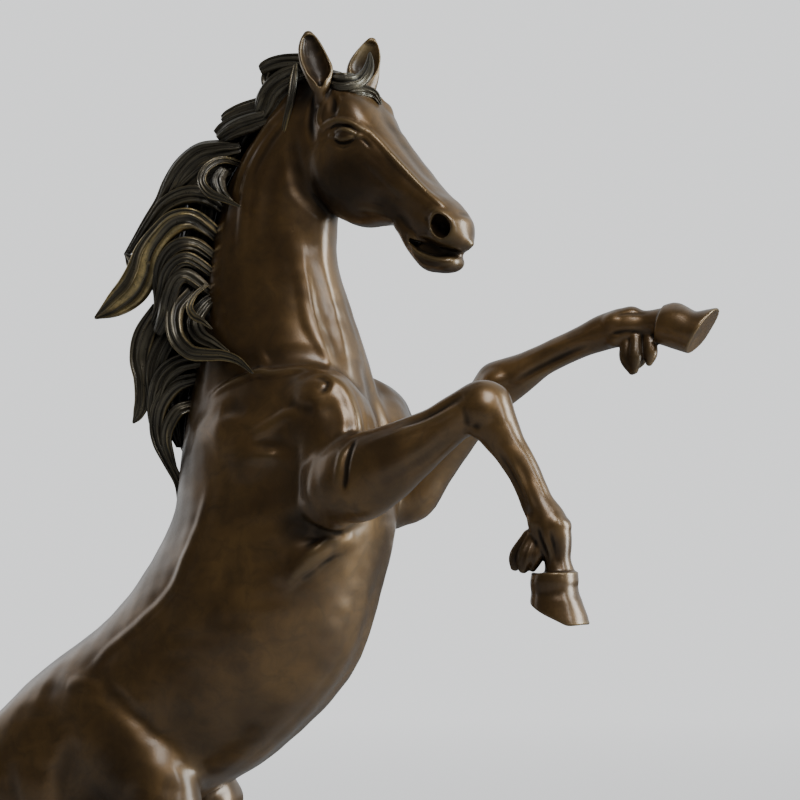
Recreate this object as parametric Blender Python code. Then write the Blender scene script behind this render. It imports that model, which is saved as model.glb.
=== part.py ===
"""A lost-wax bronze of a rearing horse on a black marble base, about 0.61 m tall.

The horse is cast in sections that are butted together on short dowels and welded: a hollow torso,
neck and head, solid legs and tail, and solid mane locks. Studs run from the two hind hooves and
the tail tip through a hollow bronze ground plate and the marble, and nuts hold them from below.

Frame: +X is the way the horse faces, +Y is its left, +Z is up. The origin is the centre of the
felt's underside, which is what the statue rests on. Lengths are in metres; the sculpted outlines
are written in millimetres and scaled by MM, because they are read most easily that way.
"""

import math

import bmesh
import bpy
from mathutils import Matrix, Vector

MM = 0.001

# ---------------------------------------------------------------- driving dimensions
FELT_THICKNESS = 1.5 * MM
MARBLE_LENGTH = 300 * MM
MARBLE_WIDTH = 150 * MM
MARBLE_HEIGHT = 30 * MM
MARBLE_BEVEL = 4 * MM
GROUND_TOP = 52 * MM  # height of the ground plate's flat top
GROUND_CENTRE_X = -24 * MM
JOINT_GAP = 0.4 * MM  # weld gap between two castings
SHELL_WALL = 4 * MM  # wall of the hollow castings
GROUND_WALL = 5 * MM
STUD_RADIUS = 3 * MM  # M6
STUD_CLEARANCE = 0.4 * MM
NUT_ACROSS_FLATS = 10 * MM
NUT_HEIGHT = 5 * MM
WASHER_RADIUS = 9 * MM
WASHER_THICKNESS = 1.5 * MM
COUNTERBORE_RADIUS = 10 * MM
COUNTERBORE_DEPTH = 11 * MM
DOWEL_RADIUS = 3.5 * MM
DOWEL_CLEARANCE = 0.4 * MM
SLEEVE_CLEARANCE = 2.4 * MM  # loose, because the head is turned on the neck
SLEEVE_WALL = 2.5 * MM
CAVITY_SIDES = 16
HEAD_TURN = math.radians(-15)  # the head looks a little to the horse's right
LEFT_HIND_REACH = 20  # millimetres that the left hind hoof stands ahead of the right

# Height of the marble's two faces, and of the ground plate's foot.
MARBLE_BOTTOM = FELT_THICKNESS + 0.3 * MM
MARBLE_TOP = MARBLE_BOTTOM + MARBLE_HEIGHT
GROUND_BOTTOM = MARBLE_TOP + 0.3 * MM
HOOF_SOLE = GROUND_TOP + 0.3 * MM

# ---------------------------------------------------------------- the horse's sections
# A slice is (upper or front edge (x, z), lower or back edge (x, z), half width, sideways shift),
# in millimetres, in the order that runs away from the joint with the torso.
TORSO_SLICES = [
    ((20, 455), (111, 443), 31, 0),
    ((16, 438), (118, 420), 38, 0),
    ((12, 405), (124, 385), 43, 0),
    ((7, 372), (120, 340), 44, 0),
    ((-9, 341), (102, 295), 44, 0),
    ((-32, 317), (62, 252), 43, 0),
    ((-57, 299), (20, 228), 42, 0),
    ((-80, 280), (-18, 208), 39, 0),
    ((-96, 256), (-50, 200), 33, 0),
    ((-103, 236), (-80, 200), 23, 0),
    ((-102, 224), (-94, 210), 9, 0),
]
NECK_SLICES = [
    ((20, 455), (111, 443), 31, 0),
    ((22, 477), (105, 461), 27, -1),
    ((27, 505), (99, 478), 23.5, -2),
    ((38, 542), (95, 497), 21, -4),
    ((57, 573), (95, 520), 19, -5.5),
    ((76, 592), (101, 540), 18.5, -6.5),
]
# The head's slices are in its own plane, from the poll, before HEAD_TURN.
POLL = Vector((96, -8, 592)) * MM
HEAD_SLICES = [
    ((-18, 1), (6, -52), 18, 0),
    ((-2, 6), (15, -66), 19, 0),
    ((14, 1), (19, -76), 21, 0),
    ((27, -11), (27, -78), 22, 0),
    ((36, -26), (36, -76), 17, 0),
    ((48, -43), (47, -83), 13.5, 0),
    ((60, -59), (54, -92), 12, 0),
    ((71, -71), (60, -100), 12.5, 0),
    ((79, -82), (66, -102), 11.5, 0),
    ((80, -92), (74, -102), 6, 0),
]
THIGH_SLICES = [
    ((-16, 282), (-84, 262), 14, -22),
    ((14, 262), (-101, 226), 17, -27),
    ((35, 240), (-97, 198), 18, -31),
    ((41, 222), (-72, 180), 17, -33),
    ((34, 202), (-42, 178), 15, -35),
    ((20, 186), (-29, 188), 12.5, -36),
]
HIND_LEG_SLICES = [
    ((20, 186), (-29, 188), 12.5, -36),
    ((4, 170), (-32, 181), 10.5, -36),
    ((-11, 154), (-42, 168), 10, -34),
    ((-10, 141), (-34, 146), 8, -32),
    ((-2, 122), (-19, 119), 6.5, -31),
    ((8, 104), (-9, 100), 7.5, -30),
    ((12, 95), (-9, 89), 8.5, -30),
    ((19, 82), (4, 76), 7, -29),
    ((27, 73), (2, 70), 10.5, -28),
    ((37, HOOF_SOLE / MM), (1, HOOF_SOLE / MM), 12, -28),
]
# A station is (x, y, z, half width across the limb, half depth), in millimetres.
RIGHT_UPPER_ARM = [
    (84, -22, 398, 16, 26),
    (106, -36, 388, 16, 25),
    (122, -46, 387, 15, 22),
]
RIGHT_FORELEG = [
    (122, -46, 387, 15, 22),
    (152, -48, 403, 12.5, 15),
    (176, -48, 417, 10, 11),
    (190, -48, 421, 10.5, 12.5),
    (198, -48, 408, 8.5, 9.5),
    (209, -49, 388, 6.5, 7.5),
    (218, -50, 373, 7.5, 8.5),
    (222, -50, 364, 8.5, 9.5),
    (225, -50, 353, 6.5, 6.5),
    (224, -50, 344, 10.5, 11),
    (224, -50, 328, 12, 13),
]
LEFT_UPPER_ARM = [
    (84, 22, 394, 16, 26),
    (106, 34, 386, 15, 24),
    (120, 40, 382, 14, 20),
]
LEFT_FORELEG = [
    (120, 40, 382, 14, 20),
    (143, 43, 409, 12, 14),
    (159, 44, 429, 10, 11),
    (168, 44, 440, 10.5, 12),
    (182, 43, 446, 8.5, 9.5),
    (202, 42, 456, 6.5, 8),
    (223, 41, 464, 7.5, 9),
    (236, 40, 467, 8.5, 10),
    (247, 39, 468, 6.5, 7),
    (256, 38, 467, 10.5, 11),
    (275, 36, 463, 12, 13),
]
TAIL = [
    (-104, 0, 232, 6, 7),
    (-116, 1, 244, 8, 9),
    (-132, 3, 236, 11, 11),
    (-139, 5, 205, 13, 13),
    (-133, 8, 160, 14, 14),
    (-118, 10, 118, 13, 12),
    (-104, 11, 86, 11, 10),
    (-96, 12, 64, 9, 9),
    (-96, 12, HOOF_SOLE / MM, 9, 9),
]
# Each mane casting is one group of locks that leaves the crest and blows backwards.
MANE_CASTINGS = {
    "mane_poll_tuft": [
        (88, -7, 592, 5, 6),
        (76, -8, 603, 7, 7),
        (62, -8, 606, 6, 5),
        (55, -9, 598, 3, 4),
    ],
    "mane_crest_locks": [
        (64, -6, 574, 9, 8),
        (46, -7, 583, 10, 8),
        (32, -8, 577, 8, 8),
        (27, -8, 566, 4, 5),
    ],
    "mane_upper_sweep": [
        (42, -6, 550, 10, 9),
        (22, -10, 561, 12, 11),
        (6, -12, 552, 12, 10),
        (-3, -12, 532, 10, 8),
        (-10, -12, 516, 4, 4),
    ],
    "mane_long_lock": [
        (28, -6, 522, 10, 10),
        (12, -12, 514, 12, 12),
        (-6, -14, 498, 10, 11),
        (-20, -16, 484, 7, 8),
        (-30, -17, 477, 2.5, 3),
    ],
    "mane_curled_lock": [
        (26, -17, 496, 7, 6),
        (16, -26, 482, 6, 6),
        (19, -30, 464, 5, 5),
        (34, -33, 455, 5, 4),
        (50, -36, 451, 4, 3),
        (62, -38, 445, 2, 2),
    ],
    "mane_lower_locks": [
        (22, -4, 486, 9, 10),
        (4, -9, 474, 10, 11),
        (-10, -11, 455, 9, 9),
        (-12, -11, 438, 6, 6),
        (-10, -10, 426, 2.5, 2.5),
    ],
    "mane_trailing_lock": [
        (19, -5, 450, 8, 9),
        (8, -8, 440, 8, 9),
        (1, -8, 420, 7, 7),
        (0, -7, 402, 5, 5),
        (6, -5, 386, 3, 3),
        (11, -4, 374, 2, 2),
    ],
    "forelock": [
        (98, -8, 594, 5, 4),
        (109, -6, 593, 6, 4),
        (117, -1, 592, 5, 4),
        (121, 5, 600, 3, 3),
        (122, 7, 606, 1.5, 1.5),
    ],
}

MATERIALS = {
    "bronze": ((0.15, 0.085, 0.04, 1), 0.3, 1.0),
    "dark_bronze": ((0.07, 0.05, 0.03, 1), 0.38, 1.0),
    "marble": ((0.012, 0.012, 0.013, 1), 0.15, 0.0),
    "felt": ((0.02, 0.05, 0.03, 1), 0.95, 0.0),
    "steel": ((0.55, 0.55, 0.56, 1), 0.35, 1.0),
    "brass": ((0.6, 0.42, 0.16, 1), 0.35, 1.0),
}


# ---------------------------------------------------------------- helpers
def clear_scene():
    for found in list(bpy.data.objects):
        bpy.data.objects.remove(found)


def material(name):
    """A Principled material, made once for each name in MATERIALS."""
    made = bpy.data.materials.get(name)
    if made is None:
        colour, roughness, metallic = MATERIALS[name]
        made = bpy.data.materials.new(name)
        made.use_nodes = True
        shader = made.node_tree.nodes["Principled BSDF"]
        shader.inputs["Base Color"].default_value = colour
        shader.inputs["Roughness"].default_value = roughness
        shader.inputs["Metallic"].default_value = metallic
        made.diffuse_color = colour
    return made


def add(name, bm, finish, at=Vector(), turn=0.0, parent=None):
    """An object from a bmesh in world coordinates, or in its own when at or turn place it."""
    mesh = bpy.data.meshes.new(name)
    bmesh.ops.recalc_face_normals(bm, faces=bm.faces)
    bm.to_mesh(mesh)
    bm.free()
    mesh.materials.append(material(finish))
    mesh.shade_smooth()
    mesh.set_sharp_from_angle(angle=math.radians(40))
    made = bpy.data.objects.new(name, mesh)
    made.location = at
    made.rotation_euler = (0, 0, turn)
    made.parent = parent
    bpy.context.scene.collection.objects.link(made)
    return made


def helper(made):
    """Marks an object as a cutter or a shape that another object takes in."""
    made.hide_render = True
    made.display_type = "WIRE"
    return made


def boolean(target, other, operation="DIFFERENCE"):
    modifier = target.modifiers.new(operation.lower() + "_" + other.name, "BOOLEAN")
    modifier.operation = operation
    modifier.object = other
    modifier.solver = "EXACT"


def ring_bmesh(rings):
    """A closed body through rings of points, with flat ends."""
    bm = bmesh.new()
    rows = [[bm.verts.new(point) for point in ring] for ring in rings]
    count = len(rows[0])
    for row, following in zip(rows, rows[1:]):
        for i in range(count):
            j = (i + 1) % count
            bm.faces.new((row[i], row[j], following[j], following[i]))
    bm.faces.new(rows[0][::-1])
    bm.faces.new(rows[-1])
    return bm


def slice_ring(section, sides, grow):
    """Points round a slice: an ellipse between its two edges, grown outwards by grow millimetres."""
    (x0, z0), (x1, z1), half_width, shift = section
    first = Vector((x0, 0, z0))
    last = Vector((x1, 0, z1))
    centre = (first + last) / 2 + Vector((0, shift, 0))
    reach = (first - last) / 2
    reach *= 1 + grow / reach.length
    side = Vector((0, half_width + grow, 0))
    turns = [2 * math.pi * i / sides for i in range(sides)]
    return [(centre + reach * math.cos(a) + side * math.sin(a)) * MM for a in turns]


def slice_body(slices, sides, grow=0.0):
    return ring_bmesh([slice_ring(section, sides, grow) for section in slices])


def slice_normal(section, following):
    """Unit vector square to a slice, towards the slice that follows it."""
    (x0, z0), (x1, z1) = section[:2]
    across = Vector((x0 - x1, 0, z0 - z1)).normalized()
    normal = across.cross(Vector((0, 1, 0)))
    (a0, b0), (a1, b1) = following[:2]
    ahead = Vector((a0 + a1 - x0 - x1, 0, b0 + b1 - z0 - z1))
    return normal if normal.dot(ahead) > 0 else -normal


def moved(section, offset):
    (x0, z0), (x1, z1), half_width, shift = section
    return ((x0 + offset.x, z0 + offset.z), (x1 + offset.x, z1 + offset.z), half_width, shift)


def after_gap(slices):
    """The same slices with the first one moved along by the weld gap."""
    offset = slice_normal(slices[0], slices[1]) * (JOINT_GAP / MM)
    return [moved(slices[0], offset)] + slices[1:]


def station_rings(stations, sides, grow=0.0):
    """Rings round a path, square to it, with each station's width across Y and depth along it."""
    points = [Vector(s[:3]) for s in stations]
    rings = []
    for i, (x, y, z, half_width, half_depth) in enumerate(stations):
        before = points[max(i - 1, 0)]
        after = points[min(i + 1, len(points) - 1)]
        along = (after - before).normalized()
        side = Vector((0, 1, 0))
        side = (side - along * along.dot(side)).normalized()
        deep = along.cross(side)
        turns = [2 * math.pi * k / sides for k in range(sides)]
        a = half_width + grow
        b = half_depth + grow
        centre = Vector((x, y, z))
        rings.append([(centre + side * a * math.cos(t) + deep * b * math.sin(t)) * MM for t in turns])
    return rings


def station_body(stations, sides, grow=0.0):
    return ring_bmesh(station_rings(stations, sides, grow))


def limb_bodies(arm, leg, sides):
    """The two bodies of a limb whose casting is welded on at the arm's last station.

    Both use the same ring at the joint, and the leg's is moved along by the weld gap.
    """
    rings = station_rings(arm + leg[1:], sides)
    joint = len(arm) - 1
    after = Vector(leg[1][:3]) - Vector(arm[-2][:3])
    moved_ring = [point + after.normalized() * JOINT_GAP for point in rings[joint]]
    return ring_bmesh(rings[: joint + 1]), ring_bmesh([moved_ring] + rings[joint + 1 :])


def rod_between(name, first, last, radius, finish, sides=16, parent=None):
    """A round rod that stands at first and points to last, with its own Z along its axis."""
    axis = last - first
    bm = bmesh.new()
    bmesh.ops.create_cone(
        bm,
        cap_ends=True,
        segments=sides,
        radius1=radius,
        radius2=radius,
        depth=axis.length,
        matrix=Matrix.Translation((0, 0, axis.length / 2)),
    )
    made = add(name, bm, finish, at=first, parent=parent)
    made.rotation_euler = axis.to_track_quat("Z", "Y").to_euler()
    return made


def hole_between(target, first, last, radius, sides=16):
    """Cuts a round hole in target and returns the cutter, which can cut others too."""
    cutter = helper(rod_between(target.name + "_bore", first, last, radius, "steel", sides))
    boolean(target, cutter)
    return cutter


# ---------------------------------------------------------------- base
def build_felt(statue):
    bm = bmesh.new()
    bmesh.ops.create_cube(bm, size=1)
    inset = 2 * MARBLE_BEVEL
    scale = (MARBLE_LENGTH - inset, MARBLE_WIDTH - inset, FELT_THICKNESS)
    bmesh.ops.scale(bm, vec=scale, verts=bm.verts)
    bmesh.ops.translate(bm, vec=(0, 0, FELT_THICKNESS / 2), verts=bm.verts)
    return add("felt_sheet", bm, "felt", parent=statue)


def build_marble(statue, stud_places):
    """A slab with bevelled edges, a through hole for each stud and a counterbore from below."""
    bm = bmesh.new()
    bmesh.ops.create_cube(bm, size=1)
    bmesh.ops.scale(bm, vec=(MARBLE_LENGTH, MARBLE_WIDTH, MARBLE_HEIGHT), verts=bm.verts)
    bmesh.ops.bevel(bm, geom=bm.edges[:], offset=MARBLE_BEVEL, segments=3, affect="EDGES")
    place = Vector((0, 0, MARBLE_BOTTOM + MARBLE_HEIGHT / 2))
    marble = add("marble_base", bm, "marble", at=place, parent=statue)
    for x, y in stud_places:
        low = Vector((x, y, MARBLE_BOTTOM - 5 * MM))
        hole_between(marble, low, Vector((x, y, MARBLE_TOP + 5 * MM)), STUD_RADIUS + STUD_CLEARANCE)
        ledge = Vector((x, y, MARBLE_BOTTOM + COUNTERBORE_DEPTH))
        hole_between(marble, low, ledge, COUNTERBORE_RADIUS, sides=24)
    return marble


def ground_ring(half_x, half_y, height, roughness, sides=28):
    """An uneven oval, whose edge wanders by a share of its size."""
    ring = []
    for i in range(sides):
        a = 2 * math.pi * i / sides
        wander = 1 + roughness * (math.sin(3 * a + 0.7) + 0.6 * math.sin(5 * a + 2.1)) / 1.6
        x = GROUND_CENTRE_X + half_x * wander * math.cos(a)
        ring.append(Vector((x, half_y * wander * math.sin(a), height)))
    return ring


def build_ground(statue, stud_places):
    """Hollow rockwork under the hooves, open below, with a flat top."""
    step = (GROUND_TOP - GROUND_BOTTOM) / 3
    outer = ring_bmesh(
        [
            ground_ring(108 * MM, 64 * MM, GROUND_BOTTOM, 0.03),
            ground_ring(106 * MM, 62 * MM, GROUND_BOTTOM + step, 0.04),
            ground_ring(102 * MM, 58 * MM, GROUND_BOTTOM + 2 * step, 0.04),
            ground_ring(98 * MM, 54 * MM, GROUND_TOP, 0.02),
        ]
    )
    ground = add("ground_casting", outer, "dark_bronze", parent=statue)
    inner = ring_bmesh(
        [
            ground_ring(101 * MM, 57 * MM, GROUND_BOTTOM - 3 * MM, 0.03),
            ground_ring(92 * MM, 48 * MM, GROUND_TOP - GROUND_WALL, 0.02),
        ]
    )
    boolean(ground, helper(add("ground_hollow", inner, "dark_bronze")))
    for x, y in stud_places:
        low = Vector((x, y, GROUND_BOTTOM))
        hole_between(ground, low, Vector((x, y, GROUND_TOP + 5 * MM)), STUD_RADIUS + STUD_CLEARANCE)
    return ground


def build_fasteners(statue, label, x, y, top):
    """A stud from the bronze down to the counterbore, with its washer and nut."""
    ledge = MARBLE_BOTTOM + COUNTERBORE_DEPTH
    seat = 0.3 * MM
    washer_top = ledge - seat
    nut_top = washer_top - WASHER_THICKNESS - seat
    stud_foot = Vector((x, y, nut_top - NUT_HEIGHT - 1.2 * MM))
    rod_between(label + "_stud", stud_foot, Vector((x, y, top)), STUD_RADIUS, "steel", parent=statue)
    bore = STUD_RADIUS + STUD_CLEARANCE
    pieces = (
        ("_washer", washer_top, WASHER_THICKNESS, WASHER_RADIUS, 24),
        ("_nut", nut_top, NUT_HEIGHT, NUT_ACROSS_FLATS / 2 / math.cos(math.pi / 6), 6),
    )
    for suffix, high, thickness, radius, sides in pieces:
        foot = Vector((x, y, high - thickness))
        made = rod_between(label + suffix, foot, Vector((x, y, high)), radius, "steel", sides, statue)
        hole_between(made, foot - Vector((0, 0, MM)), Vector((x, y, high + MM)), bore)


# ---------------------------------------------------------------- horse
def hollow_out(casting, slices, open_end, at=Vector(), turn=0.0):
    """Cuts a cavity along the slices, open through the first ring and, if asked, the last."""
    wall = SHELL_WALL / MM
    inner = list(slices)
    beyond = slice_normal(slices[0], slices[1]) * -4
    inner.insert(0, moved(slices[0], beyond))
    if open_end:
        inner.append(moved(slices[-1], slice_normal(slices[-2], slices[-1]) * 4))
    else:
        inner = inner[:-2]
    bm = slice_body(inner, CAVITY_SIDES, -wall)
    boolean(casting, helper(add(casting.name + "_cavity", bm, "bronze", at=at, turn=turn)))


def mirrored(slices):
    return [(front, back, width, -shift) for front, back, width, shift in slices]


def reached(slices, start, finish):
    """Slices carried forward by a share of LEFT_HIND_REACH that grows from start to finish."""
    last = len(slices) - 1
    shares = [start + (finish - start) * i / last for i in range(last + 1)]
    return [moved(s, Vector((LEFT_HIND_REACH * k, 0, 0))) for s, k in zip(slices, shares)]


def build_torso(statue):
    """The trunk with both thighs and upper arms, hollow and open at the neck joint."""
    torso = add("torso_casting", slice_body(TORSO_SLICES, 20), "bronze", parent=statue)
    additions = {
        "right_thigh": slice_body(THIGH_SLICES, 14),
        "left_thigh": slice_body(reached(mirrored(THIGH_SLICES), 0, 0.5), 14),
        "right_upper_arm": limb_bodies(RIGHT_UPPER_ARM, RIGHT_FORELEG, 12)[0],
        "left_upper_arm": limb_bodies(LEFT_UPPER_ARM, LEFT_FORELEG, 12)[0],
    }
    for name, bm in additions.items():
        boolean(torso, helper(add(name, bm, "bronze")), "UNION")
    hollow_out(torso, TORSO_SLICES, open_end=False)
    return torso


def build_neck(statue):
    """A tube from the withers to the poll, whose upper end is cut to meet the turned head."""
    beyond = moved(NECK_SLICES[-1], slice_normal(NECK_SLICES[-2], NECK_SLICES[-1]) * 7)
    slices = NECK_SLICES + [beyond]
    neck = add("neck_casting", slice_body(after_gap(slices), 18), "bronze", parent=statue)
    hollow_out(neck, slices, open_end=True)
    joint = [HEAD_SLICES[0], moved(HEAD_SLICES[0], slice_normal(*HEAD_SLICES[:2]) * 30)]
    cutter = add("head_joint_plane", slice_body(joint, 18, 25), "bronze", at=POLL, turn=HEAD_TURN)
    boolean(neck, helper(cutter))
    return neck


def build_head(statue):
    """The head with both ears, hollow and open at the throat."""
    bm = slice_body(after_gap(HEAD_SLICES), 18)
    head = add("head_casting", bm, "bronze", at=POLL, turn=HEAD_TURN, parent=statue)
    ears = {
        "right_ear": [(0, -12, -6, 5, 6), (0, -16, 8, 5, 6), (-1, -19, 19, 1.5, 1.5)],
        "left_ear": [(2, 12, -6, 5, 6), (4, 15, 8, 5, 6), (7, 18, 20, 1.5, 1.5)],
    }
    for name, stations in ears.items():
        ear = add(name, station_body(stations, 8), "bronze", at=POLL, turn=HEAD_TURN)
        boolean(head, helper(ear), "UNION")
    hollow_out(head, HEAD_SLICES[:-1], open_end=False, at=POLL, turn=HEAD_TURN)
    return head


def build_legs(statue):
    """Four solid legs, each butted to the torso with a weld gap."""
    left_hind = reached(mirrored(HIND_LEG_SLICES), 0.5, 1)
    bodies = {
        "right_foreleg": limb_bodies(RIGHT_UPPER_ARM, RIGHT_FORELEG, 12)[1],
        "left_foreleg": limb_bodies(LEFT_UPPER_ARM, LEFT_FORELEG, 12)[1],
        "right_hind_leg": slice_body(after_gap(HIND_LEG_SLICES), 12),
        "left_hind_leg": slice_body(after_gap(left_hind), 12),
    }
    return {name: add(name, bm, "bronze", parent=statue) for name, bm in bodies.items()}


def body_clearance():
    """Grown copies of the trunk, neck and head, which trim whatever is welded on to them."""
    grow = JOINT_GAP / MM
    return [
        helper(add("torso_clearance", slice_body(TORSO_SLICES, 20, grow), "bronze")),
        helper(add("neck_clearance", slice_body(NECK_SLICES, 18, grow), "bronze")),
        helper(
            add("head_clearance", slice_body(HEAD_SLICES, 18, grow), "bronze", at=POLL, turn=HEAD_TURN)
        ),
    ]


def build_mane(statue, clearances):
    """Each lock group is trimmed by the body and by the lock groups already made."""
    trims = list(clearances)
    for name, stations in MANE_CASTINGS.items():
        lock = add(name, station_body(stations, 8), "dark_bronze", parent=statue)
        for cutter in trims:
            boolean(lock, cutter)
        grown = station_body(stations, 8, grow=JOINT_GAP / MM)
        trims.append(helper(add(name + "_clearance", grown, "dark_bronze")))


def build_tail(statue, clearances):
    tail = add("tail_casting", station_body(TAIL, 12), "dark_bronze", parent=statue)
    boolean(tail, clearances[0])
    return tail


def between(section, following, share):
    """The slice that lies a share of the way from one slice to the next."""
    blend = []
    for (x0, z0), (x1, z1) in zip(section[:2], following[:2]):
        blend.append((x0 + (x1 - x0) * share, z0 + (z1 - z0) * share))
    width, shift = (s + (f - s) * share for s, f in zip(section[2:], following[2:]))
    return (*blend, width, shift)


def build_sleeve(statue, name, before, joint, after):
    """A ring inside two hollow castings, which lines them up before they are welded.

    before, joint and after are pairs of a slice and the matrix that places it.
    """
    outer = -(SHELL_WALL + SLEEVE_CLEARANCE) / MM
    path = [(outer, before), (outer, joint), (outer, after)]
    path += [(outer - SLEEVE_WALL / MM, station) for station in (after, joint, before)]
    bm = bmesh.new()
    rows = []
    for grow, (section, place) in path:
        ring = slice_ring(section, CAVITY_SIDES, grow)
        rows.append([bm.verts.new(place @ point) for point in ring])
    for row, following in zip(rows, rows[1:] + rows[:1]):
        for i in range(CAVITY_SIDES):
            j = (i + 1) % CAVITY_SIDES
            bm.faces.new((row[i], row[j], following[j], following[i]))
    add(name, bm, "brass", parent=statue)


def build_sleeves(statue):
    here = Matrix.Identity(4)
    head = Matrix.Translation(POLL) @ Matrix.Rotation(HEAD_TURN, 4, "Z")
    torso_side = between(TORSO_SLICES[0], TORSO_SLICES[1], 0.5)
    neck_side = between(NECK_SLICES[0], NECK_SLICES[1], 0.4)
    build_sleeve(
        statue, "neck_joint_sleeve", (torso_side, here), (NECK_SLICES[0], here), (neck_side, here)
    )
    throat_side = between(NECK_SLICES[-1], NECK_SLICES[-2], 0.35)
    head_side = between(HEAD_SLICES[0], HEAD_SLICES[1], 0.4)
    build_sleeve(
        statue, "head_joint_sleeve", (throat_side, here), (HEAD_SLICES[0], head), (head_side, head)
    )


def build_dowel(statue, label, joint, direction, depth, partners):
    """A dowel across a weld joint, and the hole for it in both castings."""
    half = direction.normalized() * depth
    rod_between(label + "_dowel", joint - half, joint + half, DOWEL_RADIUS, "brass", 12, statue)
    spare = direction.normalized() * MM
    for partner in partners:
        radius = DOWEL_RADIUS + DOWEL_CLEARANCE
        hole_between(partner, joint - half - spare, joint + half + spare, radius, 12)


def slice_centre(section):
    (x0, z0), (x1, z1), _, shift = section
    return Vector(((x0 + x1) / 2, shift, (z0 + z1) / 2)) * MM


def build_joints(statue, torso, legs, tail):
    """Dowels at the legs' and the tail's joints."""
    left_hind = reached(mirrored(HIND_LEG_SLICES), 0.5, 1)
    hind = {"right_hind_leg": HIND_LEG_SLICES, "left_hind_leg": left_hind}
    for label, slices in hind.items():
        centre = slice_centre(slices[0])
        ahead = slice_centre(slices[2]) - centre
        build_dowel(statue, label, centre, ahead, 11 * MM, (torso, legs[label]))
    fore = {
        "right_foreleg": (RIGHT_UPPER_ARM, RIGHT_FORELEG),
        "left_foreleg": (LEFT_UPPER_ARM, LEFT_FORELEG),
    }
    for label, (arm, leg) in fore.items():
        centre = Vector(leg[0][:3]) * MM
        ahead = Vector(leg[1][:3]) - Vector(arm[-2][:3])
        build_dowel(statue, label, centre, ahead, 11 * MM, (torso, legs[label]))
    dock = Vector((-103, 0, 231)) * MM
    build_dowel(statue, "tail", dock, Vector((-0.75, 0, 0.65)), 9 * MM, (torso, tail))


def main():
    clear_scene()
    statue = bpy.data.objects.new("rearing_horse", None)
    bpy.context.scene.collection.objects.link(statue)
    torso = build_torso(statue)
    build_neck(statue)
    build_head(statue)
    legs = build_legs(statue)
    clearances = body_clearance()
    for label in ("right_foreleg", "left_foreleg"):
        boolean(legs[label], clearances[0])
    tail = build_tail(statue, clearances)
    build_mane(statue, clearances)
    build_joints(statue, torso, legs, tail)
    build_sleeves(statue)

    hoof_x = 16 * MM
    reach = LEFT_HIND_REACH * MM
    studs = {
        "right_hoof": (hoof_x, -28 * MM, legs["right_hind_leg"]),
        "left_hoof": (hoof_x + reach, 28 * MM, legs["left_hind_leg"]),
        "tail_foot": (-96 * MM, 12 * MM, tail),
    }
    places = [(x, y) for x, y, _ in studs.values()]
    build_felt(statue)
    build_marble(statue, places)
    build_ground(statue, places)
    for label, (x, y, casting) in studs.items():
        top = HOOF_SOLE + 9 * MM
        build_fasteners(statue, label, x, y, top)
        start = Vector((x, y, GROUND_TOP - 5 * MM))
        hole_between(casting, start, Vector((x, y, top + MM)), STUD_RADIUS + STUD_CLEARANCE)


main()
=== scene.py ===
"""The looks of the rearing bronze horse: castings modelled in virtual clay, cut at the CAD's joints.

Clay is a grid of signed distances, in millimetres, in the CAD's own frame (+X the way the horse
faces, +Y its left, +Z up). Bodies are blended together, swollen, grooved and carved, and the
zero surface becomes a mesh. Mane, tail and forelock are ribbons of hair swept along curves.

Curves and tool marks are written in short: spaces between the numbers of a point, commas between
the points of a curve, and one tool mark to a line.
"""

import math
from itertools import product

import bmesh
import bpy
import numpy as np
from mathutils import Matrix, Vector


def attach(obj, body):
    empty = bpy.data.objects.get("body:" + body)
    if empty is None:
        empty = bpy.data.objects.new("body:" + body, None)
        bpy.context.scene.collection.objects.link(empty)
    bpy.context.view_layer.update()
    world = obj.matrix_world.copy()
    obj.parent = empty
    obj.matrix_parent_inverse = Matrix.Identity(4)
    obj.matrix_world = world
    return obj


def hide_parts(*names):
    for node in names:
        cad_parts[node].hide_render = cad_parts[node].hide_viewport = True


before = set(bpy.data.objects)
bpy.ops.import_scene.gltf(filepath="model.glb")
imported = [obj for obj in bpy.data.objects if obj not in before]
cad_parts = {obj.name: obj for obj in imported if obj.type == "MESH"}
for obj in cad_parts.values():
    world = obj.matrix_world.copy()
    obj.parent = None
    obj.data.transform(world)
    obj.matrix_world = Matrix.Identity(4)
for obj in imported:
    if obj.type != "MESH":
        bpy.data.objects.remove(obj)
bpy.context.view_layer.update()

MM = 0.001
FAR = 40.0
SETTLE = 5.0
TINY = 1e-4
SIDEWAYS = (0, 1, 0)
DOWN = (0, 0, -1)


def numbers(text):
    return tuple(float(word) for word in text.split())


def points(text):
    """The points of a curve, or the stations of a limb or lock."""
    return [numbers(point) for point in text.split(",")]


# ---------------------------------------------------------------- clay
def unit(vector):
    return np.array(vector, float) / np.linalg.norm(vector)


def smooth_min(a, b, blend):
    """The smaller of two distances, rounded over where they are within blend of each other."""
    if blend <= 0:
        return np.minimum(a, b)
    h = np.maximum(blend - np.abs(a - b), 0) / blend
    return np.minimum(a, b) - h * h * (blend / 4)


def spline(rows, steps):
    """Catmull-Rom through rows of numbers, with steps pieces to each span."""
    p = np.array(rows, float)
    ends = np.vstack([2 * p[0] - p[1], p, 2 * p[-1] - p[-2]])
    t = np.linspace(0, 1, steps, endpoint=False)[:, None]
    spans = [
        0.5 * (2 * b + (c - a) * t + (2 * a - 5 * b + 4 * c - d) * t**2 + (3 * b - a - 3 * c + d) * t**3)
        for a, b, c, d in zip(ends, ends[1:], ends[2:], ends[3:])
    ]
    return np.vstack(spans + [p[-1:]])


def from_segment(a, b, x, y, z):
    """For points beside the segment from a to b: the share of it passed, and the way from there."""
    w = b - a
    px, py, pz = x - a[0], y - a[1], z - a[2]
    t = np.clip((px * w[0] + py * w[1] + pz * w[2]) / (float(w @ w) + 1e-9), 0, 1)
    return t, px - t * w[0], py - t * w[1], pz - t * w[2]


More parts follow.
